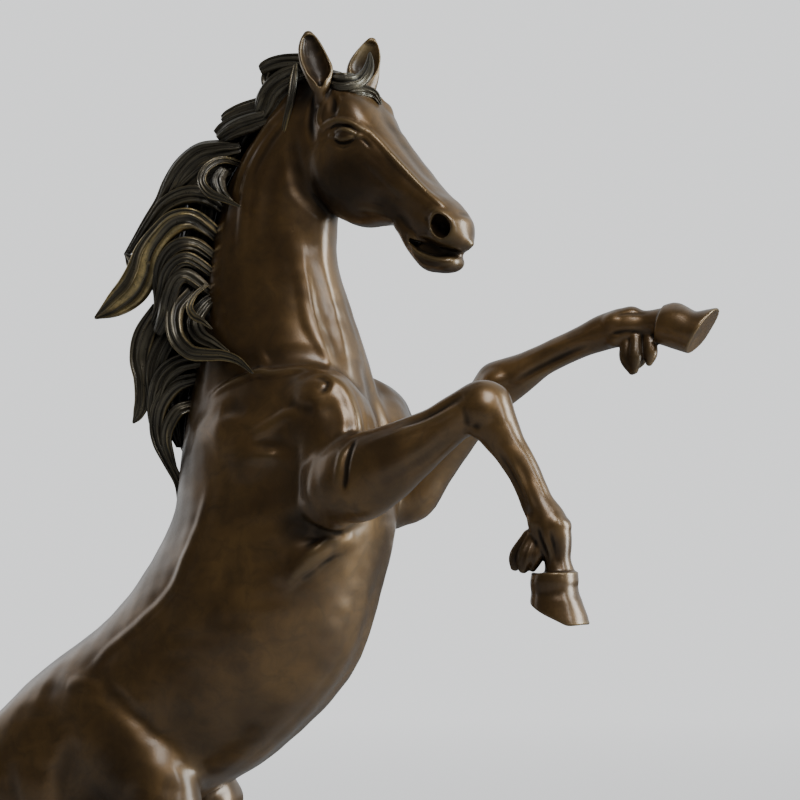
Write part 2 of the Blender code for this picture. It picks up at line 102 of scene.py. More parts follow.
def turned(local, turn):
    """Coordinates in a frame whose rows are turn, or as they are without one."""
    return local if turn is None else [sum(turn[r][c] * local[c] for c in range(3)) for r in range(3)]


class Clay:
    def __init__(self, low, high, cell):
        self.low = np.array(low, float)
        self.cell = cell
        count = np.ceil((np.array(high, float) - self.low) / cell).astype(int) + 1
        self.axes = [(self.low[i] + cell * np.arange(count[i])).astype(np.float32) for i in range(3)]
        self.field = np.full(tuple(count), FAR, np.float32)

    def window(self, low, high):
        """The part of the grid inside a box: its slices and its coordinates, ready to broadcast."""
        cut = []
        for axis, a, b in zip(self.axes, low, high):
            i = int(np.searchsorted(axis, a))
            j = int(np.searchsorted(axis, b))
            if i >= j:
                return None, (None, None, None)
            cut.append(slice(i, j))
        x, y, z = (axis[c] for axis, c in zip(self.axes, cut))
        return tuple(cut), (x[:, None, None], y[None, :, None], z[None, None, :])

    def add(self, shape, blend=0.0, sign=1):
        """Blends a shape in, or with sign -1 takes it away."""
        low, high, distance = shape
        reach = blend + 2 * self.cell
        cut, grid = self.window(np.array(low) - reach, np.array(high) + reach)
        if cut:
            self.field[cut] = sign * smooth_min(sign * self.field[cut], distance(*grid), blend)

    def carve(self, shape, blend=0.0):
        self.add(shape, blend, -1)

    def swell(self, centre, radii, height, turn=None):
        """Raises the surface by height at centre, fading to nothing at radii. Negative sinks it."""
        centre = np.array(centre, float)
        cut, grid = self.window(centre - max(radii), centre + max(radii))
        if cut:
            local = turned([g - c for g, c in zip(grid, centre)], turn)
            q = sum((v / r) ** 2 for v, r in zip(local, radii))
            self.field[cut] -= height * np.maximum(1 - q, 0) ** 2

    def soften(self, width, low, high, ramp=10.0):
        """Smooths the clay by width inside a box, and not at all at the box's faces."""
        cut, grid = self.window(low, high)
        if not cut:
            return
        near = np.minimum(self.field[cut], np.float32(4))
        share = 1
        for g, a, b in zip(grid, low, high):
            share = share * np.clip((g - a) / ramp, 0, 1) * np.clip((b - g) / ramp, 0, 1)
        self.field[cut] += (blurred(near, width / self.cell) - near) * share

    def work(self, height, lengths, waves=12, seed=5):
        """The faint unevenness of a surface finished by hand: waves of mixed length and direction."""
        draw = np.random.default_rng(seed)
        x, y, z = np.ix_(*self.axes)
        for _ in range(waves):
            way = draw.normal(size=3)
            way *= 2 * math.pi / draw.uniform(*lengths) / np.linalg.norm(way)
            near = x * np.float32(way[0]) + y * np.float32(way[1]) + z * np.float32(way[2])
            self.field += np.float32(height) * np.sin(near + np.float32(draw.uniform(0, 6)))

    def settled(self, curve):
        """Points moved on to the surface, as far as they are inside the grid and near it."""
        places = np.array([p[:3] for p in curve], float)
        cells = (places - self.low) / self.cell
        limit = np.array(self.field.shape) - 3
        inside = ((cells > 2) & (cells < limit)).all(axis=1)
        moved = cells[inside]
        for _ in range(4):
            if len(moved):
                gap = np.clip(sample(self.field, moved), -SETTLE, SETTLE)
                moved = moved - slope(self.field, moved) * gap[:, None] / self.cell
        shift = (moved - cells[inside]) * self.cell
        far = np.linalg.norm(shift, axis=1, keepdims=True)
        places[inside] += shift * np.minimum(1, SETTLE / np.maximum(far, 1e-6))
        return places

    def stroke(self, curve, radius, height, taper=True, steps=4):
        """A ridge, or with a negative height a groove, along a curve drawn near the surface."""
        path = spline(self.settled(curve), steps)
        low = path.min(0) - radius
        high = path.max(0) + radius
        cut, _ = self.window(low, high)
        if not cut:
            return
        best = np.full(self.field[cut].shape, np.float32(4 * radius * radius))
        share = np.zeros_like(best)
        last = len(path) - 1
        for i in range(last):
            a, b = path[i], path[i + 1]
            box_low = np.maximum(np.minimum(a, b) - radius, low)
            box_high = np.minimum(np.maximum(a, b) + radius, high)
            inner, grid = self.window(box_low, box_high)
            if not inner:
                continue
            inside = tuple(slice(s.start - c.start, s.stop - c.start) for s, c in zip(inner, cut))
            t, x, y, z = from_segment(a, b, *grid)
            d2 = x**2 + y**2 + z**2
            nearer = d2 < best[inside]
            best[inside] = np.where(nearer, d2, best[inside])
            share[inside] = np.where(nearer, (i + t) / last, share[inside])
        amount = height * np.maximum(1 - best / (radius * radius), 0) ** 2
        if taper:
            amount = amount * np.sin(np.pi * np.clip(share, 0.02, 0.98)) ** 0.6
        self.field[cut] -= amount


def chain(stations, side=SIDEWAYS, steps=5):
    """A limb: (x, y, z, half width along side, half depth) stations joined by a smooth curve."""
    rows = spline(stations, steps)
    reach = rows[:, 3:].max()
    side = unit(side)

    def distance(x, y, z):
        best = FAR * FAR
        for a, b in zip(rows, rows[1:]):
            t, qx, qy, qz = from_segment(a[:3], b[:3], x, y, z)
            across = qx * side[0] + qy * side[1] + qz * side[2]
            whole = qx * qx + qy * qy + qz * qz
            wide = a[3] + t * (b[3] - a[3])
            deep = a[4] + t * (b[4] - a[4])
            size = np.sqrt(whole)
            rho = np.sqrt((across / wide) ** 2 + np.maximum(whole - across**2, 0) / deep**2)
            best = np.minimum(best, size - size / np.maximum(rho, TINY))
        return best.astype(np.float32)

    return rows[:, :3].min(0) - reach, rows[:, :3].max(0) + reach, distance


def ball(centre, radii, turn=None):
    """An ellipsoid. turn is a 3 by 3 matrix whose rows are its axes."""
    centre = np.array(centre, float)

    def distance(x, y, z):
        local = turned([x - centre[0], y - centre[1], z - centre[2]], turn)
        k0 = np.sqrt(sum((v / r) ** 2 for v, r in zip(local, radii)))
        k1 = np.sqrt(sum((v / (r * r)) ** 2 for v, r in zip(local, radii)))
        return (k0 * (k0 - 1) / np.maximum(k1, TINY)).astype(np.float32)

    return centre - max(radii), centre + max(radii), distance


def loft(slices, squareness=2.3, steps=10, place=None):
    """A body through slices: upper x, z, lower x, z, half width, shift, skew and squareness.

    skew widens the upper edge and narrows the lower one. A slice may leave its squareness out.
    place is a 4 by 4 matrix that takes world millimetres to the loft's own plane.
    """
    rows = spline([(*s, squareness)[:8] for s in slices], steps)
    top = rows[:, 0:2]
    low = rows[:, 2:4]
    centre = (top + low) / 2
    half = np.linalg.norm(top - low, axis=1) / 2
    up = (top - low) / (2 * half[:, None])
    width, shift, skew, power = rows[:, 4:8].T
    normal = np.stack([up[:, 1], -up[:, 0]], 1)
    if ((centre[1] - centre[0]) @ normal[0]) < 0:
        normal = -normal

    def section(u, v):
        """For points of the loft's plane: position up the nearest slice, distance beyond the ends
        and the slice's own numbers."""
        shape = np.broadcast(u, v).shape
        u, v = (np.broadcast_to(g, shape).ravel().astype(np.float32) for g in (u, v))
        best = np.full(u.shape, 1e9, np.float32)
        found = np.zeros(u.shape, np.int32)
        for j in range(len(rows)):
            du, dv = u - centre[j, 0], v - centre[j, 1]
            ahead = du * normal[j, 0] + dv * normal[j, 1]
            along = np.abs(du * up[j, 0] + dv * up[j, 1])
            d2 = ahead**2 + np.maximum(along - half[j], 0) ** 2
            nearer = d2 < best
            best[nearer] = d2[nearer]
            found[nearer] = j

        def ahead_of(slice_number):
            du, dv = u - centre[slice_number, 0], v - centre[slice_number, 1]
            return du * normal[slice_number, 0] + dv * normal[slice_number, 1]

        ahead = ahead_of(found)
        other = np.clip(found + np.where(ahead > 0, 1, -1), 0, len(rows) - 1)
        gap = ahead - ahead_of(other)
        share = np.where(np.abs(gap) > 1e-6, ahead / np.where(np.abs(gap) > 1e-6, gap, 1), 0)
        share = np.where(other == found, 0, np.clip(share, 0, 1))

        def mix(values):
            return values[found] + (values[other] - values[found]) * share

        along = (u - mix(centre[:, 0])) * mix(up[:, 0]) + (v - mix(centre[:, 1])) * mix(up[:, 1])
        beyond = np.where(other == found, np.abs(ahead), 0)
        values = [along, beyond, *map(mix, (half, width, shift, skew, power))]
        return [value.reshape(shape).astype(np.float32) for value in values]

    def looked_up(x, z, step=0.5):
        """The same from a table of the plane, for when x and z differ at every point."""
        us, vs = (np.arange(g.min() - 1, g.max() + 3 * step, step, dtype=np.float32) for g in (x, z))
        plane = section(us[:, None], vs[None, :])
        fu, fv = np.broadcast_arrays((x - us[0]) / step, (z - vs[0]) / step)
        iu, iv = fu.astype(np.int32), fv.astype(np.int32)
        ru, rv = fu - iu, fv - iv
        return [
            p[iu, iv] * (1 - ru) * (1 - rv) + p[iu + 1, iv] * ru * (1 - rv)
            + p[iu, iv + 1] * (1 - ru) * rv + p[iu + 1, iv + 1] * ru * rv
            for p in plane
        ]

    def distance(x, y, z):
        if place is None:
            values = section(x, z)
        else:
            x, y, z = (row[0] * x + row[1] * y + row[2] * z + row[3] for row in place[:3])
            values = looked_up(x, z)
        along, beyond, tall, wide, aside, lean, n = values
        across = np.abs(y - aside)
        wide = wide * (1 + lean * np.clip(along / tall, -1, 1))
        size = np.sqrt(along**2 + across**2)
        rho = ((np.abs(along) / tall) ** n + (across / wide) ** n) ** (1 / n)
        d = size - size / np.maximum(rho, TINY)
        return np.where(beyond > 0, np.hypot(np.maximum(d, 0), beyond) + np.minimum(d, 0), d)

    reach = (width + np.abs(shift)).max() + 2
    corners = np.vstack([top, low])
    x0, z0 = corners.min(0) - 4
    x1, z1 = corners.max(0) + 4
    box = [[x0, -reach, z0], [x1, reach, z1]]
    if place is not None:
        back = np.linalg.inv(place)
        world = [(back @ [*corner, 1])[:3] for corner in product((x0, x1), (-reach, reach), (z0, z1))]
        box = [np.min(world, 0), np.max(world, 0)]
    return box[0], box[1], distance


def ahead_of_plane(point, normal):
    """The distance ahead of a plane, as a function of x, y and z."""
    a, b, c = unit(normal)
    return lambda x, y, z: (x - point[0]) * a + (y - point[1]) * b + (z - point[2]) * c


def trimmed(shape, point, normal):
    """A shape cut off flat: what lies ahead of a plane is left out."""
    low, high, distance = shape
    ahead = ahead_of_plane(point, normal)
    return low, high, lambda x, y, z: np.maximum(distance(x, y, z), ahead(x, y, z)).astype(np.float32)


def beyond_plane(point, normal, reach):
    """Everything on the side of a plane that normal points to, within reach of point."""
    point = np.array(point, float)
    ahead = ahead_of_plane(point, normal)
    return point - reach, point + reach, lambda x, y, z: (-ahead(x, y, z)).astype(np.float32)


def axes(along, side=SIDEWAYS):
    """Rows of a right-handed frame: along, then side made square to it, then their normal."""
    a = unit(along)
    side = np.array(side, float)
    s = unit(side - a * (side @ a))
    return np.stack([a, s, np.cross(a, s)])


def mirrored(curve, side=-1):
    """The same points on the horse's other side, or with side 1 as they are."""
    return [(p[0], side * p[1], *p[2:]) for p in curve]


def sculpt(clay, marks, place=list, rotation=np.eye(3), sides=(1,)):
    """Tool marks in the clay, in their order; place puts points, and rotation directions, in the world.

    A line is "curve : radius height" for a stroke, or "point : three radii, height" for a swell,
    with the direction of its first radius behind it if it is turned. A line that ends in a comma
    goes on in the next, and one without a colon is a heading.
    """
    for line in marks.replace(",\n", ",").splitlines():
        if ":" not in line:
            continue
        curve, tool = line.split(":")
        curve, tool = points(curve), numbers(tool)
        for side in sides:
            spots = place(mirrored(curve, side))
            if len(spots) > 1:
                clay.stroke(spots, *tool)
            elif len(tool) == 4:
                clay.swell(spots[0], tool[:3], tool[3])
            else:
                along, = mirrored([tool[4:]], side)
                clay.swell(spots[0], tool[:3], tool[3], axes(rotation @ along, rotation @ SIDEWAYS))


# ---------------------------------------------------------------- clay to mesh
def sample(field, cells):
    """Trilinear values of a grid at fractional cell positions."""
    limit = np.array(field.shape) - 1.001
    p = np.clip(cells, 0, limit)
    i = p.astype(np.int64)
    f = (p - i).astype(np.float32)
    x, y, z = i.T
    fx, fy, fz = f.T
    total = 0
    for dx, dy, dz in product((0, 1), repeat=3):
        weight = (fx if dx else 1 - fx) * (fy if dy else 1 - fy) * (fz if dz else 1 - fz)
        total = total + weight * field[x + dx, y + dy, z + dz]
    return total


def slope(field, cells):
    """Unit gradient of a grid at fractional cell positions."""
    steps = 0.75 * np.eye(3)
    g = np.stack([sample(field, cells + step) - sample(field, cells - step) for step in steps], 1)
    return g / np.maximum(np.linalg.norm(g, axis=1, keepdims=True), 1e-9)


def along_axis(axis, part):
    """An index that takes a part of one axis and all of the others."""
    index = [slice(None)] * 3
    index[axis] = part
    return tuple(index)


def blurred(field, sigma):
    """A grid smoothed by a Gaussian of sigma cells."""
    reach = max(1, int(round(2.5 * sigma)))
    weights = np.exp(-0.5 * (np.arange(-reach, reach + 1) / sigma) ** 2)
    weights /= weights.sum()
    out = field
    for axis in range(3):
        first, last = (np.repeat(out.take([end], axis), reach, axis) for end in (0, -1))
        padded = np.concatenate([first, out, last], axis)
        out = np.zeros_like(field)
        for k, weight in enumerate(weights):
            out += np.float32(weight) * padded[along_axis(axis, slice(k, k + field.shape[axis]))]
    return out


def surface(clay):
    """Surface nets: one vertex in each grid cell that the surface crosses, quads between them."""
    field = clay.field
    for axis, end in product(range(3), (0, -1)):
        face = along_axis(axis, end)
        field[face] = np.maximum(field[face], 0.5)
    inside = field < 0
    shape = tuple(n - 1 for n in field.shape)
    total = np.zeros(shape, np.int8)
    for dx, dy, dz in product((0, 1), repeat=3):
        total += inside[dx:dx + shape[0], dy:dy + shape[1], dz:dz + shape[2]]
    active = (total > 0) & (total < 8)
    number = np.full(shape, -1, np.int32)
    number[active] = np.arange(int(active.sum()), dtype=np.int32)
    cells = np.argwhere(active)
    sums = np.zeros((len(cells), 3), np.float32)
    hits = np.zeros(len(cells), np.float32)
    for axis in range(3):
        u, v = [k for k in range(3) if k != axis]
        for p, q in product((0, 1), repeat=2):
            place = np.zeros((len(cells), 3), np.float32)
            place[:, u], place[:, v] = p, q
            corner = cells + place.astype(int)
            a = field[tuple(corner.T)]
            corner[:, axis] += 1
            b = field[tuple(corner.T)]
            crosses = (a < 0) != (b < 0)
            place[:, axis] = np.where(crosses, a / np.where(crosses, a - b, 1), 0)
            sums += place * crosses[:, None]
            hits += crosses
    verts = cells + sums / hits[:, None]
    faces = []
    for axis in range(3):
        u, v = [k for k in range(3) if k != axis]
        a = inside[along_axis(axis, slice(0, -1))]
        edges = np.argwhere(a != inside[along_axis(axis, slice(1, None))])
        ok = (edges[:, u] > 0) & (edges[:, v] > 0)
        ok &= (edges[:, u] < field.shape[u] - 1) & (edges[:, v] < field.shape[v] - 1)
        edges = edges[ok]
        leaving = a[tuple(edges.T)]
        quad = []
        for du, dv in ((1, 1), (0, 1), (0, 0), (1, 0)):
            c = edges.copy()
            c[:, u] -= du
            c[:, v] -= dv
            quad.append(number[tuple(c.T)])
        quad = np.stack(quad, 1)
        outward = leaving if axis != 1 else ~leaving
        quad[~outward] = quad[~outward][:, ::-1]
        faces.append(quad)
    return verts, np.vstack(faces)


def islands(count, faces):
    """The label of each vertex's connected piece."""
    label = np.arange(count)
    while True:
        low = label[faces].min(1)
        before = label.copy()
        for k in range(4):
            np.minimum.at(label, faces[:, k], low)
        label = label[label]
        if (label == before).all():
            return label


def write_attribute(mesh, name, values, kind="FLOAT", field="value"):
    made = mesh.attributes.new(name, kind, "POINT")
    made.data.foreach_set(field, np.asarray(values, np.float32).ravel())


def clay_mesh(name, clay):
    """A mesh of the clay's largest piece, with hollows and ridges marked, and spots of dark patina and
    painted shade.
    """
    clay.field = blurred(np.minimum(clay.field, np.float32(5)), 0.55)
    verts, faces = surface(clay)
    label = islands(len(verts), faces)
    stays = label == np.bincount(label).argmax()
    faces = (np.cumsum(stays) - 1)[faces[stays[faces[:, 0]]]]
    verts = verts[stays]
    for _ in range(3):
        verts = verts - slope(clay.field, verts) * (sample(clay.field, verts) / clay.cell)[:, None] * 0.7
    places = verts * clay.cell + clay.low
    mesh = bpy.data.meshes.new(name)
    mesh.vertices.add(len(verts))
    mesh.vertices.foreach_set("co", (places * MM).astype(np.float32).ravel())
    mesh.loops.add(len(faces) * 4)
    mesh.loops.foreach_set("vertex_index", faces.astype(np.int32).ravel())
    mesh.polygons.add(len(faces))
    mesh.polygons.foreach_set("loop_start", np.arange(0, len(faces) * 4, 4, dtype=np.int32))
    mesh.update(calc_edges=True)
    for label_name, width in (("fine", 1.1), ("broad", 4.0)):
        sigma = max(width / clay.cell, 0.8)
        bend = sample(blurred(clay.field, sigma), verts) / (sigma * clay.cell)
        write_attribute(mesh, label_name, bend)
    # Dark patina and painted shade and shadow, spot by spot: how dark each vertex is painted.
    dark = np.zeros(len(verts))
    for x, y, z, reach, amount in DARK_PATINA_AND_SHADE:
        gap = np.linalg.norm(places - (x, y, z), axis=1) / reach
        dark = np.maximum(dark, amount * np.clip(1.6 * (1 - gap), 0, 1))
    write_attribute(mesh, "dark", dark)
    write_attribute(mesh, "facing", slope(clay.field, verts), "FLOAT_VECTOR", "vector")
    return mesh


# ---------------------------------------------------------------- the horse in clay
# From rump to poll: back x, z, belly x, z, half width, shift, skew.
TRUNK = points("""
-103 222 -97 212 8 0 0, -104 238 -84 200 24 0 0, -96 257 -52 200 35 0 0, -80 280 -16 208 41 0 0.05,
-57 299 20 227 43 0 0, -32 317 62 253 44 0 -0.05, -9 341.5 102 295 45 0 -0.08, 8 371 118.5 342 44 0 -0.1,
13 404 125 382 42 0 -0.16, 17 436 119 418 36 0 -0.2, 20 455 112.5 443 30 0 -0.2,
22 477 107.5 461 26 0 -0.12, 27 505 102 478 23 -1 -0.05, 38 541 96 500 20.5 -3 0,
56 571 97 521 18.5 -5 0.05, 76 590 101 540 17 -6.5 0.05, 92 594 112 552 15 -8 0
""")
RIGHT_FOREARM = points("""
116 -44 388 14 18, 126 -47.5 389.5 14.5 20.5, 138 -49 395 13.5 18.5, 152 -49 403 12 15,
165 -48 411 10.4 12, 177 -48 419 9.8 10.8, 187 -48 424 10.2 11.4, 190.5 -48 422.5 10.2 12
""")
RIGHT_CANNON = points("""
190 -48 422.5 10 12, 195 -48 414 9.4 10.8, 200 -48 405.5 8 9, 205.8 -48.5 397 6.8 8,
211 -49 387.5 6.4 7.6, 215 -50 378 6.8 8, 219 -50 371 8 9, 221.5 -50 364.5 8.4 9.6, 224 -50 357 6.8 7.2,
224.8 -50 351 6.2 6, 226 -50 345 7.6 7.4
""")
RIGHT_HOOF = points("""
223.6 -50 353 11 10.7, 223.5 -50 344 11 10.7, 223.4 -50 338.5 11.2 10.9, 224.2 -50 332 11.8 12,
225.6 -50 321 13 14
""")
LEFT_FOREARM = points("""
110 38 385 14 16, 121 41 383.5 13.5 14.5, 131 42.5 397 12.5 12.6, 142 43 411 11.5 11.4,
153 43.5 423.5 10.2 10.6, 162 44 433.5 10 10.8, 168 44 440 10 11.4
""")
LEFT_CANNON = points("""
168 44 439 10 11.6, 176 43.5 443 9.6 11, 184 43 447 8.2 9.4, 193 42.5 451.5 7 8.2, 203 42 456 6.5 7.8,
214 41.5 460.5 6.8 8, 226 41 465 8 9.4, 236 40 467 8.4 10, 244 39.5 467.5 7 7.6, 249 39 468 6.6 7,
256 38.5 467.5 8 8.6
""")
LEFT_HOOF = points("""
249 38.6 467.5 8.2 7.6, 256 38.4 466.8 10.6 9.8, 262 38 466.2 11.4 11.2, 271 37.2 462.8 11.4 10.9,
285 36.5 461.2 12 13.4
""")
THIGH = points("-22 27 268 15 26, -6 31 254 17 26, 9 33.5 238 17.5 25, 18 35 222 16.5 21")
HAMSTRING = points("""
-84 18 246 13 17, -79 24 226 17 19, -66 29 207 16.5 19, -46 32 196 14 17, -26 33 192 12 13
""")
GASKIN = points("""
17 36 214 14.5 19, 4 36.5 198 13.5 17.5, -11 36 183 11.5 14, -23 35 171 9.8 11.5, -31 34.2 162 9 10.6
""")
ACHILLES = points("-58 33 196 7 8, -49 33.6 184 4.4 4.8, -42 34 174 4.2 4.6, -39.5 34 166.5 5.6 6")
HIND_CANNON = points("""
-31 34 163 9 11, -29 33.4 153 9 11.4, -22.5 32.6 141 7.6 9.4, -12 31.2 121 6.6 8.2, -3.5 30.3 104.5 7 8.6,
0 30 95 8.4 10.2, 8 29.3 84.5 7 8, 13 28.5 76 7.4 8.4
""")
# Front x, z, back x, z, half width, shift of the right hoof, skew.
HIND_HOOF = points("27 74.5 1 72 10.6 -28 0, 32 64 0 62 11.6 -28 0, 38 50 0 50 12.6 -28 0")
LEFT_HIND_REACH = 20
LEFT_GASKIN = [(6, 36, 214, 14, 14), (0, 36.5, 198, 13.5, 15), *GASKIN[2:]]
LEFT_THIGH = [(x - 11, y, z, width, depth * 0.76) for x, y, z, width, depth in THIGH]
HIP_HEIGHT = 250.0
HOOF_HEIGHT = 74.0

RIGHT_KNEE_MARKS = """
190 -56 420 : 9 6 8 1.6
150 -57 415, 165 -57 420, 176 -56 424.5, 183 -55 427 : 4.5 -1.5
134 -60 404, 152 -60 411, 168 -57.5 417, 180 -57 424 : 3.4 0.9
140 -60 386, 156 -59 394, 170 -56.5 403, 180 -56 409 : 5 -0.9
182 -57 412, 183.5 -57 417, 182 -57 424 : 3.4 -0.5
186 -57 408, 188 -57.5 413, 192 -57 415 : 3.4 -0.5
186 -54 409 : 6 6 5 1.2
199 -52 417 : 5 8 5 0.9
tendon grooves of the cannon
196 -56 402, 202 -56 391, 208 -56 380, 211 -57 373 : 3.4 -1.2
193 -55 402, 197 -55 393, 203 -55 381, 207 -56 372 : 2.6 1
201 -56 402, 207 -56 391, 213 -56.5 380, 216 -57 373 : 2.4 0.9
207 -56 397, 211 -56 390.5, 212 -56 384, 218 -56 374 : 2.4 -0.8
"""
RIGHT_FETLOCK_MARKS = """
214 -55.5 369 : 5 5 5 1.5
226 -54 369 : 5 6 6 1.1
215 -50 364 : 6 8 6 1.6
218 -57 367, 219 -57 361, 222 -56 353 : 2.2 -0.9
223 -57 366, 225 -56.5 358, 226 -56 350 : 2 -0.7
220.5 -57 364, 222 -57 357, 223.5 -56 350 : 1.8 0.6
"""
LEFT_KNEE_MARKS = """
136 31 409, 147 31 424, 158 32 436 : 5 -1.3
144 31.5 402, 154 32.5 414, 165 33.5 428 : 5 0.8
168 34 441 : 9 6 8 1.5
161 34 432, 166 33 433, 172 33.5 436 : 2.6 -0.7
cannon
178 34.5 440, 192 35 446.5, 206 35 452.5, 219 34 457 : 3.2 -1.5
176 35 447, 192 35.5 454.5, 208 35 460, 222 34.5 465 : 3 0.8
178 36 436, 192 36.5 442, 206 36.5 448.5, 220 35 453 : 2.6 0.8
"""
LEFT_FETLOCK_MARKS = """
230 34 470 : 6 5 6 1.4
232 35 458 : 6 5 6 1.8
240 40 476 : 6 8 5 1
230 33 463, 238 33 464, 247 34 463 : 2.4 -0.9
232 32.5 473, 240 33 474, 248 34 473 : 2 -0.6
"""
# The crease where the forearm leaves the upper arm, deepest in its middle.
FOREARM_CREASES = """
128 -56 408, 127 -58 402, 126 -59 396, 125.5 -60 390, 124.5 -60 384 : 2.4 -2.3
123.5 -56 406, 122.3 -58 399, 121.6 -59 392, 120.8 -59 385 : 2.8 1
127 27 405, 124 26 395, 121 27 384 : 3 -1.2
"""
# For either hind leg, with y outwards.
HIND_LEG_MARKS = """
muscles of the thigh and the stifle
24 46 226 : 13 9 14 2
14 49 244, 4 51 226, -2 51 210, -6 49 198 : 7 -1.8
-30 44 256, -36 46 236, -36 48 216, -30 46 202 : 9 -1.6
-66 40 248, -60 43 228, -50 46 210, -38 45 198 : 7 -1.5
-50 44 228 : 17 9 22 1.8
2 47 196 : 18 8 12 1.6 0.75 0 0.65
hock with the hollow before its tendon, bony points, tendons of the cannon
-32 41 188, -36 41 179, -37 41 171 : 4.2 -2
-22 43 174, -29 43 165, -31 42 156 : 3.2 0.9
-36 41 158 : 6 6 7 1.2
-23 41 152 : 5 6 7 1
-31 40 148, -26 39 136, -18 38 120, -10 37 107 : 2.8 -1.2
-33 38 146, -29 37 134, -22 36 118, -13 35 104 : 2.6 0.9
-24 40 146, -18 39 132, -11 38 117, -5 37 106 : 2.6 0.8
-3 37 98 : 6 5 6 1.4
5 36 93 : 5 5 5 0.9
-1 37 95, 4 37 88, 9 36 80 : 2 -0.8
"""
# For the right side, and mirrored for the left.
TRUNK_MUSCLES = """
119 -17 414 : 17 17 26 5
48 -44 418 : 24 12 22 2.2 1 0 0.2
100 -46 376 : 14 10 10 1.6
66 -44 402 : 22 8 16 1.4 1 0 0.35
30 -44 352 : 30 14 46 1.8 0.9 0 0.4
62 -44 318 : 34 14 50 1.6 0.9 0 0.4
-30 -36 262 : 42 12 16 -2.6 0.5 0 -0.8
26 -44 262 : 26 12 22 -2.6 0.7 0 -0.6
-24 -33 288 : 12 10 9 3.4 1 0 0.3
-13 -37 275 : 10 9 9 1.8
97 -38 352 : 14 10 9 3 0.8 0 0.4
84 -40 344 : 10 8 8 1.5
-70 -38 240 : 34 12 34 2.2
upper edge of the shoulder blade, then round its front
39 -28 433, 49 -31 438, 58 -33 441, 67 -34 444, 76 -35 443, 89 -34 445, 98 -35 444 : 3.6 2.1
40 -26 440, 58 -28 448, 76 -30 451, 94 -30 452, 108 -30 448 : 7.5 -1
64 -33 443, 68 -34 444.5, 72 -34 443 : 3.2 1.1
106 -38 443, 116 -40 434, 122 -42 425, 124.5 -43 417, 124 -45 410, 119 -49 404, 116 -50 398 : 4.4 2.4
107 -43 430, 112 -46 418, 112 -48 406, 109 -50 396 : 7 -1.5
100 -40 438.5, 105 -41 438, 108 -42 435.5, 107 -44 432.5, 104 -44 433 : 2.6 -0.8
98 -40 441.5, 106 -40 441.5, 111.5 -42 437, 110 -44 431 : 2.8 0.5
hollows across the blade
48 -36 424, 56 -38 425.5, 64 -41 423 : 7 -1.5
86 -42 427, 96 -45 423.5, 104 -46 422 : 6.4 -1.8
67 -44 411, 76 -44 415.5, 87 -43 421, 94 -44 422 : 5 1.7
66 -43 408.5, 77 -44 407.5, 88 -44 407.5 : 6 -1.4
67 -44 401, 75 -45 401, 82 -45 401.5 : 5 1.4
89 -44 399, 91 -44 396, 93 -45 394 : 3 1.2
groove behind the upper arm
108 -46 420, 104.5 -47 410, 103 -48 400, 101.5 -49 390, 103 -50 381, 109 -50 373 : 7 -1
104 -46 418, 100.5 -46 409, 99 -46 401, 99 -47 393 : 3.2 1.3
94 -46 412, 92 -47 399, 93 -48 387, 97 -48 376 : 6.5 -0.5
armpit and the folds of skin below it
88 -42 372.5, 96 -42 370, 103 -41 368, 109 -39 365.5, 115 -33 363.5 : 4.2 -2.4
88 -43 366, 97 -42 362, 106 -38 361 : 7.5 -1.2
118 -26 361, 109 -34 357.5, 101 -39 353.5, 94 -42 347, 89 -43 342 : 6.5 3
114 -30 356.5, 107 -35 351.5, 101 -39 346 : 4 -0.6
110 -33 360.5, 103 -38 357, 97 -41 351.5 : 2.8 1
98 -40 350, 92 -42 344, 87 -43 337 : 4 1
jugular groove with the muscle edges beside it
81 -22 513, 88 -24 489, 93 -26 469, 101 -27 459, 111 -27 447, 120 -24 432 : 6 1.2
88 -17 512, 95 -18 487, 101 -19 466, 107 -22 455, 114 -21 442 : 7 -1.5
101 -4 492, 107 -4 472, 113 -3 452 : 5 0.6
neck muscles beside the crest
72 -21 566, 61 -21 553, 56 -21 541, 54 -22 524, 52 -24 504 : 4.6 1.3
80 -21 560, 72 -22 545, 68 -22 528, 66 -24 508 : 7 -1
75 -20 577, 65 -19 569, 56 -18 557, 50 -18 546, 46 -19 532 : 3.6 1.3
79 -21 570, 70 -20 562, 61 -20 550, 56 -20 538 : 3.6 -1.3
60 -16 576, 51 -16 562, 43 -17 546, 38 -19 526 : 4 -1.2
64 -30 456, 68 -31 450, 72 -32 446 : 4 1.1
edge where the flank turns on to the back
42 -38 386, 38 -38 368, 31 -40 351, 24 -40 335, 4 -38 318, -12 -36 306, -22 -37 295 : 4.6 1.1
point of hip, thigh's front edge, groove before it
-18 -34 281, -11 -38 276, 4 -43 266, 14 -46 255, 25 -49 240, 33 -49 230 : 8 1.5
-16 -35 288, -4 -40 279, 11 -43 267, 24 -45 253, 37 -46 240 : 8.5 -2.2
-34 -33 286, -24 -35 287, -14 -36 285 : 5 1.6
-28 -44 262, -34 -47 244, -32 -50 226 : 9 -1.6
-86 -34 250, -74 -42 232, -62 -46 214, -52 -48 200 : 6 -1.8
midline of the belly
122 -8 352, 104 -8 306, 66 -8 264, 26 -8 238 : 8 0.8
"""


def ring(centre, axis, side, wide, deep, count=14):
    """Points round an oval, for a stroke that goes round a limb."""
    _, s, d = axes(axis, side)
    turns = (2 * math.pi * i / count for i in range(count + 1))
    return [np.array(centre) + s * wide * math.cos(t) + d * deep * math.sin(t) for t in turns]


def feather(clay, lobes, size):
    """A tuft of hair behind a fetlock: leaf-shaped lobes, each grooved down its middle."""
    for root, middle, tip in lobes:
        near = np.array((0, math.copysign(size * 0.8, middle[1]), 0))
        widths = ((size * 0.8,) * 2, (size,) * 2, (size * 0.5,) * 2)
        clay.add(chain([(*p, *w) for p, w in zip((root, middle, tip), widths)]), 1.1)
        clay.stroke([root + near, middle + near, tip], 1.5, -0.8)


